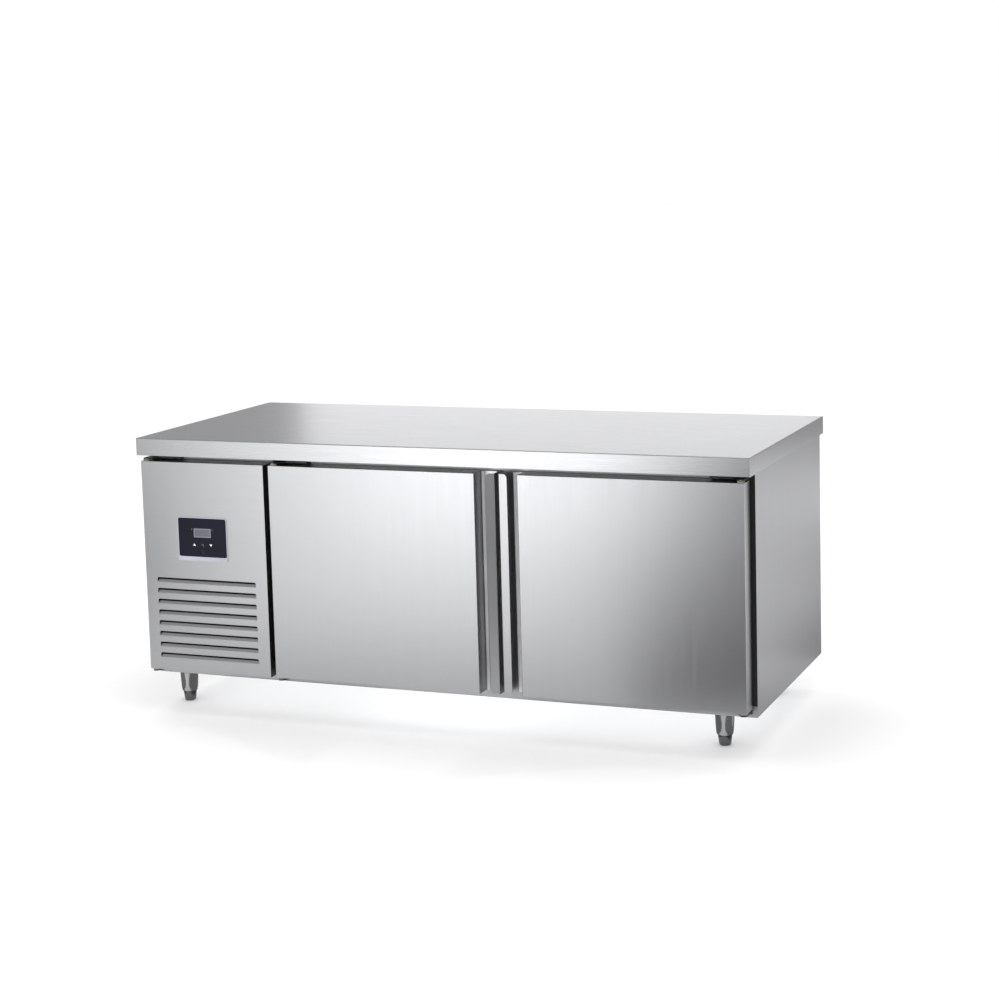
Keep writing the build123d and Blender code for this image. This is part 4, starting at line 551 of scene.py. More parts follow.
def gasket(side_name):
    """Bellows gasket: root in its groove, a soft hollow side and a flat magnetic face."""
    node = f"{side_name}_door_gasket"
    low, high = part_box(node)
    thick = high.y - low.y
    width = 23 * MM
    half_profile = (
        (0.16, 0.00), (0.16, 0.22), (0.06, 0.26), (0.015, 0.36), (0.05, 0.46), (0.10, 0.52),
        (0.05, 0.60), (0.015, 0.72), (0.03, 0.88), (0.09, 0.98), (0.20, 1.00), (0.42, 1.00), (0.46, 0.93),
    )
    shape = list(half_profile) + [(1 - across, out) for across, out in half_profile[::-1]]
    profile = [(across * width, low.y + out * thick) for across, out in shape]
    bm = bmesh.new()
    rectangle_sweep(bm, (low.x, low.z), (high.x, high.z), profile, lambda x, z, y: (x, y, z))
    piece(f"{side_name}_gasket", bm, f"{side_name}_door", "gasket_rubber", node, smooth=50.0)


def painted_shadow_strips():
    """Painted shade: black strips on the cabinet front beside the right door and between machine bay and left
    door, standing in for the shadow in those gaps.
    """
    panel_low, panel_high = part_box("right_side_panel")
    door_low, door_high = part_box("right_door_skin")
    left_low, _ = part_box("left_door_skin")
    _, machine_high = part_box("machine_panel")
    thick, overlap = 0.5 * MM, 12 * MM
    bm = bmesh.new()
    for x_low, x_high, z_low in (
        (door_high.x - overlap, panel_high.x - 0.4 * MM, door_low.z + 6 * MM),
        (machine_high.x - 2 * MM, left_low.x + overlap, door_low.z),
    ):
        box(bm, (x_low, panel_low.y - thick, z_low), (x_high, panel_low.y, panel_high.z))
    round_edges(bm, 0.15 * MM, 1)
    piece("painted_shadow_strips", bm, "cabinet", "gasket_rubber")


def base_flange():
    """Turned-down edge round the cabinet's underside, folded inward along its lower side."""
    low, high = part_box("right_side_panel")
    left_low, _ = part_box("left_side_panel")
    drop, fold = 11 * MM, 6 * MM
    line = rounded_path([(0.0, 0.0, 0.0), (0.0, -drop, 0.0), (fold, -drop, 0.0)], 2 * SHEET, 5)
    outer = [point.to_2d() for point in line]
    profile = outer + offset_line(outer, SHEET)[::-1]
    bm = bmesh.new()
    rectangle_sweep(bm, (left_low.x, low.y), (high.x, high.y), profile, lambda x, y, z: (x, y, low.z + z))
    piece("base_flange", bm, "cabinet", "body_steel")


# ---- machine door
LOUVRES = 8
LOUVRE_PITCH = 31.4 * MM
LOUVRE_HEIGHT = 14.2 * MM
LOUVRE_WIDTH = 317 * MM
LOUVRE_TOP = 399.5 * MM
LOUVRE_CORNER = 4.5 * MM
LOUVRE_SHEET = 1.0 * MM


def slot_outline(centre_x, bottom, top):
    """A louvre opening: square below, rounded above."""
    half = LOUVRE_WIDTH / 2
    points = [(centre_x - half, bottom), (centre_x + half, bottom)]
    steps = 6
    centre_z = top - LOUVRE_CORNER
    for quarter, sign in ((0, 1), (1, -1)):
        corner_x = centre_x + sign * (half - LOUVRE_CORNER)
        for step in range(steps + 1):
            turn = (quarter + step / steps) * math.pi / 2
            across, up = LOUVRE_CORNER * math.cos(turn), LOUVRE_CORNER * math.sin(turn)
            points.append((corner_x + across, centre_z + up))
    return points


def louvre_lip(bm, centre_x, front_y, bottom):
    """Tongue under a slot: it leaves the sheet in a small bend and leans in and up."""
    start_y = front_y + 0.75 * MM
    corners = (
        (start_y, bottom - 2 * MM, 0.0), (start_y, bottom + 0.5 * MM, 0.0),
        (front_y + 5.6 * MM, bottom + 8.0 * MM, 0.0),
    )
    outline = sheet_outline([point.to_2d() for point in rounded_path(corners, 1.2 * MM, 4)], LOUVRE_SHEET)
    half = LOUVRE_WIDTH / 2 - 0.4 * MM
    loft(bm, [[(x, y, z) for y, z in outline] for x in (centre_x - half, centre_x + half)])


def tray_sides(bm, low, high):
    """Four returns of a tray that is open at the back, joined to its front sheet."""
    t = SHEET
    box(bm, (low.x, low.y + t, low.z), (low.x + t, high.y, high.z))
    box(bm, (high.x - t, low.y + t, low.z), (high.x, high.y, high.z))
    box(bm, (low.x + t, low.y + t, low.z), (high.x - t, high.y, low.z + t))
    box(bm, (low.x + t, low.y + t, high.z - t), (high.x - t, high.y, high.z))


def machine_panel():
    """Service panel: one pressed sheet with eight louvres, the controller cut-out and returns."""
    low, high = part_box("machine_panel")
    centre_x, _ = front_centre(low, high)
    outlines = [front_outline(low, high, 0.0, 1.2 * MM, 3)]
    bm = bmesh.new()
    for row in range(LOUVRES):
        top = LOUVRE_TOP - row * LOUVRE_PITCH
        outlines.append(slot_outline(centre_x, top - LOUVRE_HEIGHT, top))
        louvre_lip(bm, centre_x, low.y, top - LOUVRE_HEIGHT)
    outlines.append(front_outline(*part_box("controller_housing"), 7 * MM, 2 * MM, 3))
    add_mesh(bm, front_plate(outlines, low.y, SHEET, 0.35 * MM))
    tray_sides(bm, low, high)
    piece("machine_bay_panel", bm, "machine_door", "door_steel", "machine_panel", material=PANEL_STEEL)


def air_filter():
    """Filter frame with cross bars, and its fine woven mesh as a second piece."""
    low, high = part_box("air_filter")
    bar = 6 * MM
    columns, rows = 5, 4
    column = (high.x - low.x) / columns
    row = (high.z - low.z) / rows
    outlines = [front_outline(low, high, 0.0, bar)]
    for i in range(columns):
        for k in range(rows):
            hole = rounded_rectangle(column - bar, row - bar, 3 * MM, 3)
            outlines.append(shifted(hole, low.x + (i + 0.5) * column, low.z + (k + 0.5) * row))
    bm = bmesh.new()
    add_mesh(bm, front_plate(outlines, low.y, high.y - low.y, 0.8 * MM))
    black = MATERIALS["fan_plastic"]
    piece("filter_frame", bm, "machine_door", "filter_mesh", "air_filter", material=black)
    margin = Vector((bar / 2, (high.y - low.y) / 2 - 0.5 * MM, bar / 2))
    low, high = low + margin, high - margin
    rounded_block("filter_mesh", low, high, 0.2 * MM, "machine_door", "filter_mesh", segments=1)


# ---- controller
KEYS = ("key_up", "key_set", "key_down", "key_power")


def controller():
    """Bezel with a pale lower strip, dark coated face, display window, keys and their symbols."""
    controller_bezel()
    face_low, face_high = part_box("controller_face")
    glass_low, glass_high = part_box("controller_display")
    holes = [front_outline(face_low, face_high, 0.3 * MM, 4.7 * MM)]
    holes.append(front_outline(glass_low, glass_high, 0.0, 1 * MM, 3))
    for key in KEYS:
        low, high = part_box(key)
        holes.append(shifted(circle((high.x - low.x) / 2 + 0.3 * MM, 32), *front_centre(low, high)))
    bm = front_plate(holes, face_low.y, 1.2 * MM, 0.25 * MM)
    piece("controller_panel", bm, "machine_door", "face_plastic", "controller_face")

    edge = front_outline(glass_low, glass_high, 0.15 * MM, 1 * MM, 3)
    inner = front_outline(glass_low, glass_high, 3.5 * MM, 1.5 * MM, 3)
    bm = front_plate([edge, inner], face_low.y + 0.15 * MM, 0.9 * MM, 0.15 * MM)
    piece("display_border", bm, "machine_door", "display_panel", material=BORDER_GREY)
    margin = 0.3 * MM
    pane_low = (glass_low.x + margin, face_low.y + 0.45 * MM, glass_low.z + margin)
    pane_high = (glass_high.x - margin, face_low.y + 1.1 * MM, glass_high.z - margin)
    names = ("machine_door", "display_panel", "controller_display")
    rounded_block("display_glass", pane_low, pane_high, 0.1 * MM, *names, segments=1)

    for key in KEYS:
        key_cap(key)
    for index, x in enumerate((glass_low.x - 5.5 * MM, glass_high.x + 4.5 * MM)):
        spot = shifted(circle(1.3 * MM, 16), x, glass_high.z - 3 * MM)
        bm = front_plate([spot], face_low.y - 0.12 * MM, 0.2 * MM, 0.05 * MM)
        piece(f"indicator_{index + 1}", bm, "machine_door", "display_panel", material=ICON_GREY)


def controller_bezel():
    """Rounded bezel round the face, and the ribbed body behind it."""
    low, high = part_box("controller_housing")
    window = front_outline(*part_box("controller_face"), 0.0, 5 * MM)
    bm = front_plate([front_outline(low, high, 0.0, 6 * MM), window], low.y, 2.0 * MM, 0.7 * MM)
    margin = 7.3 * MM
    ribs, rib_pitch, rib_width, rib_inset = 9, 14.5 * MM, 3 * MM, 20 * MM
    back = bmesh.new()
    box(back, (low.x + margin, low.y + 1.7 * MM, low.z + margin), (high.x - margin, high.y, high.z - margin))
    for rib in range(ribs):
        x = low.x + margin + 14 * MM + rib * rib_pitch
        rib_low = (x, high.y - 1 * MM, low.z + rib_inset)
        box(back, rib_low, (x + rib_width, high.y - 0.2 * MM, high.z - rib_inset))
    round_edges(back, 0.8 * MM, 2)
    add_mesh(bm, back)
    piece("controller_bezel", bm, "machine_door", "bezel_plastic", "controller_housing")


def key_cap(key):
    """A slightly domed round key, and on it the raised symbol that says what it does."""
    low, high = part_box(key)
    radius = (high.x - low.x) / 2
    x, z = front_centre(low, high)
    face_y = low.y + 0.5 * MM
    matrix = Matrix.Translation((x, face_y, z)) @ Matrix.Rotation(-math.pi / 2, 4, "X")
    profile = [(0.05 * MM, 0.0), (radius * 0.6, 0.04 * MM), (radius * 0.9, 0.16 * MM), (radius, 0.5 * MM)]
    bm = bmesh.new()
    revolve(bm, matrix, profile + [(radius, high.y - face_y)], 40)
    piece(f"{key}_cap", bm, key, "key_plastic", key)
    symbol_y = low.y + 0.1 * MM
    if key == "key_power":
        power_symbol(key, x, symbol_y, z)
        return
    half = 4.6 * MM
    triangle = [(-half, -half * 0.62), (half, -half * 0.62), (0.0, half * 0.72)]
    bar, bar_offset = rounded_rectangle(1.9 * MM, 3.4 * MM, 0.5 * MM, 3), 2.1 * MM
    shapes = {
        "key_set": [shifted(bar, -bar_offset, 0), shifted(bar, bar_offset, 0)],
        "key_up": [triangle],
        "key_down": [[(px, -py) for px, py in triangle[::-1]]],
    }
    bm = bmesh.new()
    for shape in shapes[key]:
        add_mesh(bm, front_plate([shifted(shape, x, z)], symbol_y, 0.6 * MM, 0.06 * MM))
    icon = ICON_GREY if key == "key_set" else ICON_WHITE
    piece(key.replace("key", "symbol"), bm, key, "key_plastic", material=icon)


def power_symbol(key, x, front_y, z):
    """An open ring with a stroke at its top."""
    stroke, radius = 0.45 * MM, 3.6 * MM
    y = front_y + stroke
    turns = [math.radians(angle) for angle in range(35, 326, 10)]
    bm = bmesh.new()
    tube(bm, [(x + radius * math.sin(turn), y, z + radius * math.cos(turn)) for turn in turns], stroke, 8)
    tube(bm, [(x, y, z + 0.6 * MM), (x, y, z + 4.4 * MM)], stroke, 8)
    piece("symbol_power", bm, key, "key_plastic", material=ICON_RED)


# ---- feet
FEET = ("front_left", "front_right", "back_left", "back_right")


def feet():
    """Turned sleeves with a rolled lower lip, and adjusters with a rounded tread."""
    sleeve_low, sleeve_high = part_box("foot_sleeves")
    # Radius and height in millimetres, from the lip to the plate under the cabinet.
    sleeve = (
        (19.4, 0.0), (20.2, 0.0), (21.2, 0.0), (22.2, 0.2), (22.6, 1.8), (22.8, 4.0), (23.1, 6.4),
        (23.6, 7.4), (24.1, 12.0), (24.9, 26.0), (25.7, 40.0), (26.2, 52.0), (26.5, 58.0), (26.5, 66.0),
        (26.5, 82.6), (27.2, 83.2), (33.2, 83.4), (34.0, 84.2), (34.0, 86.0),
    )
    scale = (sleeve_high.z - sleeve_low.z) / sleeve[-1][1]
    profile = [(radius * MM, sleeve_low.z + height * scale) for radius, height in sleeve]
    bm = bmesh.new()
    for foot in FEET:
        low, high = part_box(f"foot_adjuster_{foot}")
        x, y, _ = (low + high) / 2
        revolve(bm, Matrix.Translation((x, y, 0)), profile, 56)
        adjuster(foot, x, y, high.z)
    piece("foot_sleeves_turned", bm, "cabinet", "foot_steel", "foot_sleeves", smooth=40.0)


def adjuster(foot, x, y, top):
    """Screwed-in foot with a rounded tread, spanner flats and a fine groove."""
    profile = (
        (0.05, 0.0), (10.5, 0.0), (13.0, 0.25), (14.9, 1.2), (16.1, 2.9), (16.6, 5.0), (17.2, 9.9),
        (17.3, 10.1), (18.6, 21.9), (18.7, 22.1), (19.0, 25.0), (19.0, 27.0), (18.5, 27.4), (18.5, 28.2),
        (19.0, 28.6),
    )
    flat = 17.0 * MM
    bm = bmesh.new()
    points = [(radius * MM, height * MM) for radius, height in profile] + [(19 * MM, top)]
    revolve(bm, Matrix.Translation((x, y, 0)), points, 56)
    for vertex in bm.verts:
        if 10.0 * MM < vertex.co.z < 22.0 * MM:
            vertex.co.y = y + max(-flat, min(flat, vertex.co.y - y))
    node = f"foot_adjuster_{foot}"
    piece(f"adjuster_{foot}", bm, f"foot_{foot}", "adjuster_steel", node)


# ---- screws
def pan_screw(bm, seat, direction, radius):
    """A pan-head screw with a cross on it, its head standing on a seat point."""
    matrix = Matrix.Translation(seat) @ direction.to_track_quat("Z", "Y").to_matrix().to_4x4()
    height = radius * 0.72
    shank, rim = (radius * 0.55, -0.6 * MM), (radius, 0.0)
    shares = ((1, 0.35), (0.86, 0.8), (0.5, 1), (0.2, 1.02))
    revolve(bm, matrix, [shank, rim] + [(share * radius, part * height) for share, part in shares], 24)
    for length, width in ((0.12 * radius, 0.55 * radius), (0.55 * radius, 0.12 * radius)):
        blade = bmesh.new()
        box(blade, (-length, -width, height * 0.99), (length, width, height * 1.06))
        bmesh.ops.transform(blade, matrix=matrix, verts=blade.verts)
        add_mesh(bm, blade)


def hinge_screws():
    """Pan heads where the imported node's own screw heads stand, found by grouping its front points."""
    low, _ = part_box("hinge_screws")
    cell = 12 * MM
    seats = {}
    for vertex in frame["nodes"]["hinge_screws"].data.vertices:
        point = vertex.co
        if point.y < low.y + 0.05 * MM:
            seats.setdefault((round(point.x / cell), round(point.z / cell)), []).append(point.copy())
    bm = bmesh.new()
    for points in seats.values():
        middle = sum(points, Vector()) / len(points)
        pan_screw(bm, (middle.x, low.y + 2.6 * MM, middle.z), Vector((0, -1, 0)), 3.5 * MM)
    piece("bracket_screws", bm, "cabinet", "screw_steel", "hinge_screws")


def rear_screws():
    """Screws round the rear cover and the back panel."""
    inset = 9 * MM
    back_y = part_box("rear_cover")[1].y
    bm = bmesh.new()
    for node, columns in (("rear_cover", 3), ("back_panel", 6)):
        low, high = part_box(node)
        left, right = low.x + inset, high.x - inset
        places = []
        for i in range(columns):
            x = left + (right - left) * i / (columns - 1)
            places += [(x, low.z + inset), (x, high.z - inset)]
        for third in (1, 2):
            z = low.z + (high.z - low.z) * third / 3
            places += [(left, z), (right, z)]
        for x, z in places:
            pan_screw(bm, (x, back_y, z), Vector((0, 1, 0)), 4 * MM)
    piece("rear_screws", bm, "cabinet", "screw_steel")


# ---- shelves
def shelf(side_name):
    """Wire shelf: rounded frame, two bearers and closely spaced wires with turned-down ends."""
    node = f"{side_name}_shelf"
    low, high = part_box(node)
    rod, wire, bearer = 4 * MM, 2.5 * MM, 3 * MM
    bm = bmesh.new()
    z = low.z + rod
    outline = rounded_rectangle(high.x - low.x - 2 * rod, high.y - low.y - 2 * rod, 16 * MM, 8)
    middle = (low + high) / 2
    tube(bm, [(middle.x + x, middle.y + y, z) for x, y in outline], rod, 14, closed=True)
    left, right = low.x + rod, high.x - rod
    for y in (middle.y - 100 * MM, middle.y + 100 * MM):
        tube(bm, [(left, y, z + 1.5 * MM), (right, y, z + 1.5 * MM)], bearer, 12)
    wires = 20
    top = high.z - wire
    front, back = low.y + 2.6 * MM, high.y - 2.6 * MM
    for i in range(wires):
        x = left + (right - left) * (i + 1) / (wires + 1)
        corners = [(x, front, z), (x, front, top), (x, back, top), (x, back, z)]
        tube(bm, rounded_path(corners, 4 * MM, 4), wire, 10)
    piece(f"{side_name}_wire_shelf", bm, node, "shelf_wire", node, smooth=50.0)


# ---- refrigeration
def fins(bm, low, high, axis, pitch, thickness=0.3 * MM):
    """Thin plates spaced along an axis."""
    count = int((high[axis] - low[axis]) / pitch)
    for i in range(count + 1):
        at = low[axis] + i * pitch
        plate_low, plate_high = Vector(low), Vector(high)
        plate_low[axis], plate_high[axis] = at, at + thickness
        box(bm, plate_low, plate_high)


def return_bend(bm, x, outward, y_low, y_high, z, radius):
    """A U bend between two tubes, outside an end plate."""
    out_x = x + outward * 9 * MM
    corners = [(x, y_low, z), (out_x, y_low, z), (out_x, y_high, z), (x, y_high, z)]
    tube(bm, rounded_path(corners, 8 * MM, 6), radius, 12)


def condenser():
    """Fins between two end plates, and tubes that turn back outside the plates."""
    low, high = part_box("condenser_coil")
    plate, plate_inset = 1.5 * MM, 14 * MM
    fin_margin = Vector((plate_inset + plate, 3 * MM, 2 * MM))
    bm = bmesh.new()
    fins(bm, low + fin_margin, high - fin_margin, 0, 2.6 * MM)
    for x in (low.x + plate_inset, high.x - plate_inset - plate):
        box(bm, (x, low.y, low.z), (x + plate, high.y, high.z))
    piece("condenser_fins", bm, "cabinet", "coil_aluminium", "condenser_coil")
    bm = bmesh.new()
    rows, radius = 5, 4.2 * MM
    left, right = low.x + 13 * MM, high.x - 13 * MM
    front, back = low.y + 15 * MM, high.y - 15 * MM
    for row in range(rows):
        z = low.z + (row + 0.5) * (high.z - low.z) / rows
        for y in (front, back):
            tube(bm, [(left, y, z), (right, y, z)], radius, 12)
        for x, outward in ((left, -1), (right, 1)):
            return_bend(bm, x, outward, front, back, z, radius)
    piece("condenser_tubes", bm, "cabinet", "copper_pipe", smooth=50.0)


def evaporator():
    """Fins between two end plates."""
    low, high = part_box("evaporator_coil")
    margin, plate = 4 * MM, 2 * MM
    bm = bmesh.new()
    fins(bm, low + Vector((2 * margin, margin, margin)), high - Vector((margin,) * 3), 1, 4.5 * MM)
    for y in (low.y, high.y - plate):
        box(bm, (low.x, y, low.z), (high.x, y + plate, high.z))
    piece("evaporator_fins", bm, "cabinet", "coil_aluminium", "evaporator_coil")


def fan_blade(matrix, radius, hub_radius, chord, root_turn):
    """Rings of one swept, twisted and cambered blade, from the hub outward."""
    radial, along, thick = 7, 8, 1.2 * MM
    upper = [(k / along - 0.5, 1) for k in range(along + 1)]
    around = upper + [(t, -1) for t, _ in upper[::-1]]
    rings = []
    for i in range(radial + 1):
        share = i / radial
        r = hub_radius * 0.9 + (radius - hub_radius * 0.9) * share
        tilt = math.radians(38 - 16 * share)
        width = chord * (0.8 + 0.35 * math.sin(share * math.pi * 0.75))
        sweep = math.radians(14) * share**1.5
        ring = []
        for t, side in around:
            camber = 2.2 * MM * (1 - 4 * t * t)
            flat = width * t * math.cos(tilt) - camber * math.sin(tilt)
            lift = width * t * math.sin(tilt) + camber * math.cos(tilt)
            edge = thick / 2 * math.sqrt(max(1 - (2 * t) ** 4, 0.05))
            turn = root_turn + sweep + flat / r
            ring.append(matrix @ Vector((r * math.cos(turn), r * math.sin(turn), lift + side * edge)))
        rings.append(ring)
    return rings


def fan(node, turn_axis, across, hub_radius, chord):
    """Axial fan: a domed hub and five blades, turned about an axis to face along its shaft."""
    low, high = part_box(node)
    radius = (high[across] - low[across]) / 2
    matrix = Matrix.Translation((low + high) / 2) @ Matrix.Rotation(math.pi / 2, 4, turn_axis)
    half, blades, pinhole = 8 * MM, 5, 0.2 * MM
    hub = [
        (pinhole, -half), (hub_radius, -half), (hub_radius, half - 2 * MM), (hub_radius - 1 * MM, half),
        (hub_radius * 0.5, half + 1.6 * MM), (pinhole, half + 2 * MM),
    ]
    bm = bmesh.new()
    revolve(bm, matrix, hub, 40)
    for blade in range(blades):
        loft(bm, fan_blade(matrix, radius, hub_radius, chord, math.tau * blade / blades))
    piece(f"{node}_blades", bm, node, "fan_plastic", node, smooth=50.0)


def compressor():
    """Welded pot with a seam flange, a base plate with rolled edges, and a terminal box."""
    low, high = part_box("compressor")
    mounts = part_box("compressor_mounts")
    x, y, _ = (mounts[0] + mounts[1]) / 2
    radius, pinhole = 88 * MM, 0.3 * MM
    bottom = low.z + 8 * MM
    height = high.z - bottom
    seam = height * 0.45
    dome_base = seam + 8 * MM
    bowl = ((0.55, 0.005), (0.78, 0.035), (0.93, 0.10), (1.0, 0.19), (1.0, 0.448))
    flange = ((3.4, 0.0), (4.0, 1.0), (4.0, 6.0), (3.2, 7.4), (-1.0, 8.0))
    dome = ((0.985, 0.35), (0.96, 0.55), (0.90, 0.73), (0.78, 0.87), (0.6, 0.95), (0.35, 0.99))
    profile = [(pinhole, 0.0)] + [(share * radius, part * height) for share, part in bowl]
    profile += [(radius + out * MM, seam + up * MM) for out, up in flange]
    profile += [(radius * share, dome_base + (height - dome_base) * part) for share, part in dome]
    bm = bmesh.new()
    revolve(bm, Matrix.Translation((x, y, bottom)), profile + [(pinhole, height)], 72)
    plate = cut_sheet([shifted(rounded_rectangle(220 * MM, 150 * MM, 14 * MM), x, y)], 3 * MM, 0.8 * MM)
    bmesh.ops.translate(plate, vec=(0, 0, low.z + 1.5 * MM), verts=plate.verts)
    add_mesh(bm, plate)
    revolve(bm, Matrix.Translation((x, y, low.z)), [(56 * MM, 2 * MM), (56 * MM, 14 * MM)], 48)
    terminal = bmesh.new()
    seam_middle = Vector((x + radius, y, bottom + seam))
    terminal_low, terminal_high = Vector((-10, -35, -70)) * MM, Vector((34, 35, -5)) * MM
    box(terminal, seam_middle + terminal_low, seam_middle + terminal_high)
    round_edges(terminal, 4 * MM, 4)
    add_mesh(bm, terminal)
    piece("compressor_pot", bm, "cabinet", "compressor_paint", "compressor")


def pipes():
    """Copper lines with soft bends, the drier in the liquid line and a foam sleeve on the suction line."""
    low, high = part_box("refrigerant_pipes")
    coil_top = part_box("condenser_coil")[1].z - 1 * MM
    pot_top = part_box("compressor")[1].z
    radius = 4 * MM
    front, back = low.y + radius, high.y - radius
    left, end_x = low.x + radius, high.x
    pot_y = back - 50 * MM
    turn_z = coil_top + 35 * MM
    liquid_x, liquid_y, liquid_z = end_x - 99.8 * MM, back - 170 * MM, high.z - radius - 40 * MM
    suction_x, suction_z = end_x - 159.8 * MM, high.z - radius
    routes = (
        [(left, pot_y, pot_top - 14 * MM), (left, pot_y, turn_z), (left, front, turn_z),
         (left, front, coil_top)],
        [(liquid_x, front, coil_top), (liquid_x, front, liquid_z), (liquid_x, liquid_y, liquid_z),
         (end_x, liquid_y, liquid_z)],
        [(suction_x, back, pot_top - 4 * MM), (suction_x, back, suction_z), (end_x, back, suction_z)],
    )
    bm = bmesh.new()
    for route in routes:
        tube(bm, rounded_path(route, 22 * MM, 9), radius, 16)
    piece("copper_lines", bm, "cabinet", "copper_pipe", "refrigerant_pipes", smooth=50.0)
    half_drier = [(4.2, 66), (5.5, 58), (10.6, 50), (11, 46)]
    drier = [(r, -h) for r, h in half_drier] + half_drier[::-1]
    middle = Matrix.Translation((liquid_x, (front + liquid_y) / 2, liquid_z))
    bm = bmesh.new()
    revolve(bm, middle @ Matrix.Rotation(math.pi / 2, 4, "X"), [(r * MM, h * MM) for r, h in drier], 32)
    piece("filter_drier", bm, "cabinet", "copper_pipe", smooth=50.0)
    sleeve = [(suction_x, back, pot_top + 12 * MM), (suction_x, back, suction_z)]
    sleeve.append((end_x - 2 * MM, back, suction_z))
    bm = bmesh.new()
    tube(bm, rounded_path(sleeve, 24 * MM, 9), 10 * MM, 18)
    piece("suction_sleeve", bm, "cabinet", "mount_rubber", smooth=50.0)


# ---- studio
def area_light(name, place, target, size, power, mirrored=True):
    """A soft rectangular light aimed at a target; the camera doesn't see it."""
    light = bpy.data.lights.new(name, "AREA")
    light.shape = "RECTANGLE"
    light.size, light.size_y = size
    light.energy = power
    obj = bpy.data.objects.new(name, light)
    obj.location = place
    obj.rotation_mode = "QUATERNION"
    obj.rotation_quaternion = (Vector(target) - Vector(place)).to_track_quat("-Z", "Y")
    obj.visible_camera = False
    obj.visible_glossy = mirrored
    bpy.context.scene.collection.objects.link(obj)


def ground_card(name, corners, height, grey, roughness):
    """A flat staged sheet of one grey, slightly uneven in roughness."""
    mesh = bpy.data.meshes.new(name)
    mesh.from_pydata([(x, y, height) for x, y in corners], [], [tuple(range(len(corners)))])
    made = Material(name, (grey, grey, grey), 0.0, roughness)
    made.vary_roughness(made.noise(3.0), roughness - 0.05, roughness + 0.05)
    mesh.materials.append(made.material)
    obj = bpy.data.objects.new(name, mesh)
    bpy.context.scene.collection.objects.link(obj)
    return obj


def flag(name, corners, grey, height=3 * MM):
    """A studio flag lying on the floor: a grey card that only the steel's reflections see."""
    card = ground_card(name, corners, height, grey, 0.9)
    card.visible_camera = False
    card.visible_diffuse = False
    card.visible_shadow = False
    card.visible_transmission = False


def world(seen, mirrored, ambient):
    """White for the camera, grey in the reflections, and even light for everything else."""
    made = bpy.data.worlds.new("studio")
    made.use_nodes = True
    tree = made.node_tree
    rays = tree.nodes.new("ShaderNodeLightPath")
    shader = tree.nodes["Background"]
    shader.inputs["Color"].default_value = (ambient, ambient, ambient, 1.0)
    for ray, level in (("Is Glossy Ray", mirrored), ("Is Camera Ray", seen)):
        other = tree.nodes.new("ShaderNodeBackground")
        other.inputs["Color"].default_value = (level, level, level * 1.01, 1.0)
        mix = tree.nodes.new("ShaderNodeMixShader")
        tree.links.new(rays.outputs[ray], mix.inputs["Fac"])
        tree.links.new(shader.outputs[0], mix.inputs[1])
        tree.links.new(other.outputs[0], mix.inputs[2])
        shader = mix
    tree.links.new(shader.outputs[0], tree.nodes["World Output"].inputs["Surface"])
    bpy.context.scene.world = made


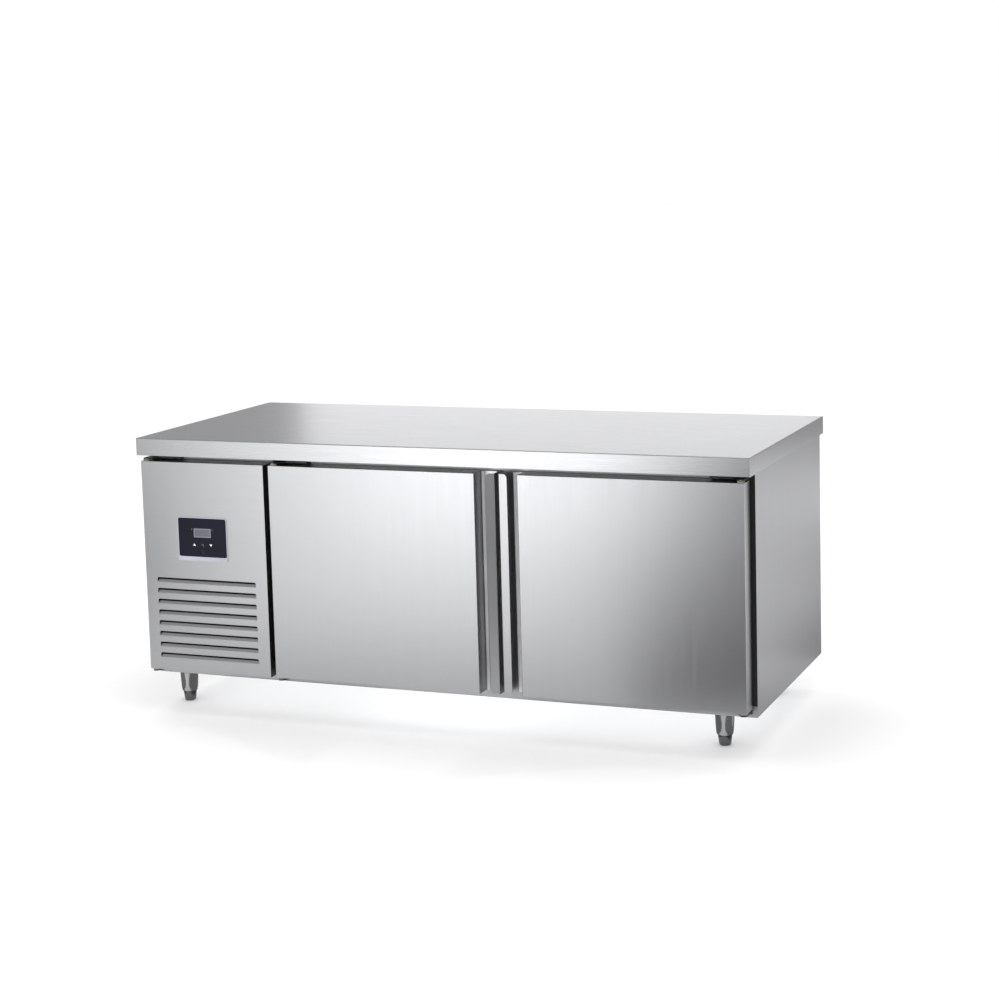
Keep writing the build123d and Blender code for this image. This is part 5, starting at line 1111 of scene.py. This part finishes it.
def studio():
    """Even white surroundings; boxes ahead and behind, and flags, shape the steel's reflections."""
    bpy.context.scene.view_settings.view_transform = "Standard"
    reach = 40.0
    corners = ((-reach, -reach), (reach, -reach), (reach, reach), (-reach, reach))
    ground_card("studio_floor", corners, 0.0, 0.93, 0.6)
    world(seen=1.0, mirrored=0.50, ambient=1.22)
    area_light("top_softbox", (0.0, -0.4, 5.5), (0.0, 0.0, 0.0), (6.0, 5.0), 60.0)
    area_light("front_box_main", (-0.75, -3.0, 0.55), (-0.3, -0.4, 0.55), (1.35, 0.9), 9.5)
    area_light("front_box_side", (-1.95, -2.9, 0.55), (-0.9, -0.4, 0.55), (0.9, 0.9), 3.2)
    area_light("back_box", (-1.28, 4.2, 1.55), (0.0, 0.0, 0.8), (2.7, 1.4), 12.6)
    area_light("under_fill", (0.0, 0.0, 0.112), (0.0, 0.0, 0.0), (1.7, 0.68), 3.4, False)
    area_light("strip_box", (3.6, -4.0, 0.7), (0.3, -0.3, 0.1), (0.25, 1.4), 6.0)
    flag("flag_near", ((-2.4, -1.35), (0.9, -1.35), (0.9, -0.5), (-2.0, -0.5)), 0.66)
    flag("flag_left", ((-7.6, -14.0), (-3.85, -6.5), (-1.45, -1.36), (-4.5, -1.36), (-14.0, -14.0)), 0.12)
    flag("flag_right", ((-3.6, -14.0), (4.0, -14.0), (2.2, -0.8), (0.44, -0.8), (-1.35, -6.5)), 0.05, 5 * MM)
    for foot in FEET[:2]:
        low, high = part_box(f"foot_adjuster_{foot}")
        sides = (("left", low.x - 40 * MM, low.x - 0.6), ("right", high.x + 25 * MM, high.x + 0.6))
        for side_name, x_near, x_far in sides:
            corners = ((x_near, -0.42), (x_far, -0.75), (x_far, 0.2), (x_near, 0.2))
            flag(f"flag_{foot}_{side_name}", corners, 0.22, 2 * MM)
    flag("flag_side_low", ((0.92, -0.2), (1.18, -0.2), (1.18, 0.7), (0.92, 0.7)), 0.50)
    flag("flag_side_low_rear", ((0.92, 0.7), (1.28, 0.7), (1.28, 1.8), (0.92, 1.8)), 0.25)
    flag("flag_side_middle", ((1.18, -0.2), (1.75, -0.2), (1.75, 1.8), (1.28, 1.8)), 0.72)
    flag("flag_side_rear", ((0.92, 1.8), (1.5, 1.8), (1.6, 2.9), (0.92, 3.2)), 0.28)
    flag("flag_side_far", ((1.2, 4.5), (6.0, 4.5), (6.0, 12.0), (1.2, 12.0)), 0.25)


CAMERA_PLACE = (2.296, -5.495, 1.627)
CAMERA_AZIMUTH = 21.6
CAMERA_ELEVATION = 7.2
CAMERA_ROLL = -1.5
CAMERA_LENS = 75.6
CAMERA_SHIFT = (-0.0205, -0.1)


def camera():
    """The photograph's viewpoint: azimuth, elevation and a slight roll."""
    azimuth, elevation, roll = map(math.radians, (CAMERA_AZIMUTH, CAMERA_ELEVATION, CAMERA_ROLL))
    back = Vector((
        math.sin(azimuth) * math.cos(elevation),
        -math.cos(azimuth) * math.cos(elevation),
        math.sin(elevation),
    ))
    level_right = (-back).cross(Vector((0, 0, 1))).normalized()
    level_up = level_right.cross(-back)
    right = level_right * math.cos(roll) + level_up * math.sin(roll)
    up = level_up * math.cos(roll) - level_right * math.sin(roll)
    data = bpy.data.cameras.new("camera")
    data.lens = CAMERA_LENS
    data.shift_x, data.shift_y = CAMERA_SHIFT
    data.clip_start, data.clip_end = 0.05, 200.0
    obj = bpy.data.objects.new("camera", data)
    obj.matrix_world = Matrix.Translation(CAMERA_PLACE) @ Matrix((right, up, back)).transposed().to_4x4()
    bpy.context.scene.collection.objects.link(obj)
    bpy.context.scene.camera = obj


def build():
    dress_cad_nodes()
    worktop()
    pulls = (("left", -1, 5.5 * MM, 9 * MM), ("right", 1, 1.5 * MM, 3 * MM))
    for side_name, side, fold_drop, corner_radius in pulls:
        pull(side_name, side, fold_drop, corner_radius)
        gasket(side_name)
        shelf(side_name)
    painted_shadow_strips()
    base_flange()
    machine_panel()
    air_filter()
    controller()
    feet()
    hinge_screws()
    rear_screws()
    condenser()
    evaporator()
    fan("condenser_fan", "X", 0, 24 * MM, 46 * MM)
    fan("evaporator_fan", "Y", 2, 18 * MM, 26 * MM)
    compressor()
    pipes()
    studio()
    camera()


build()
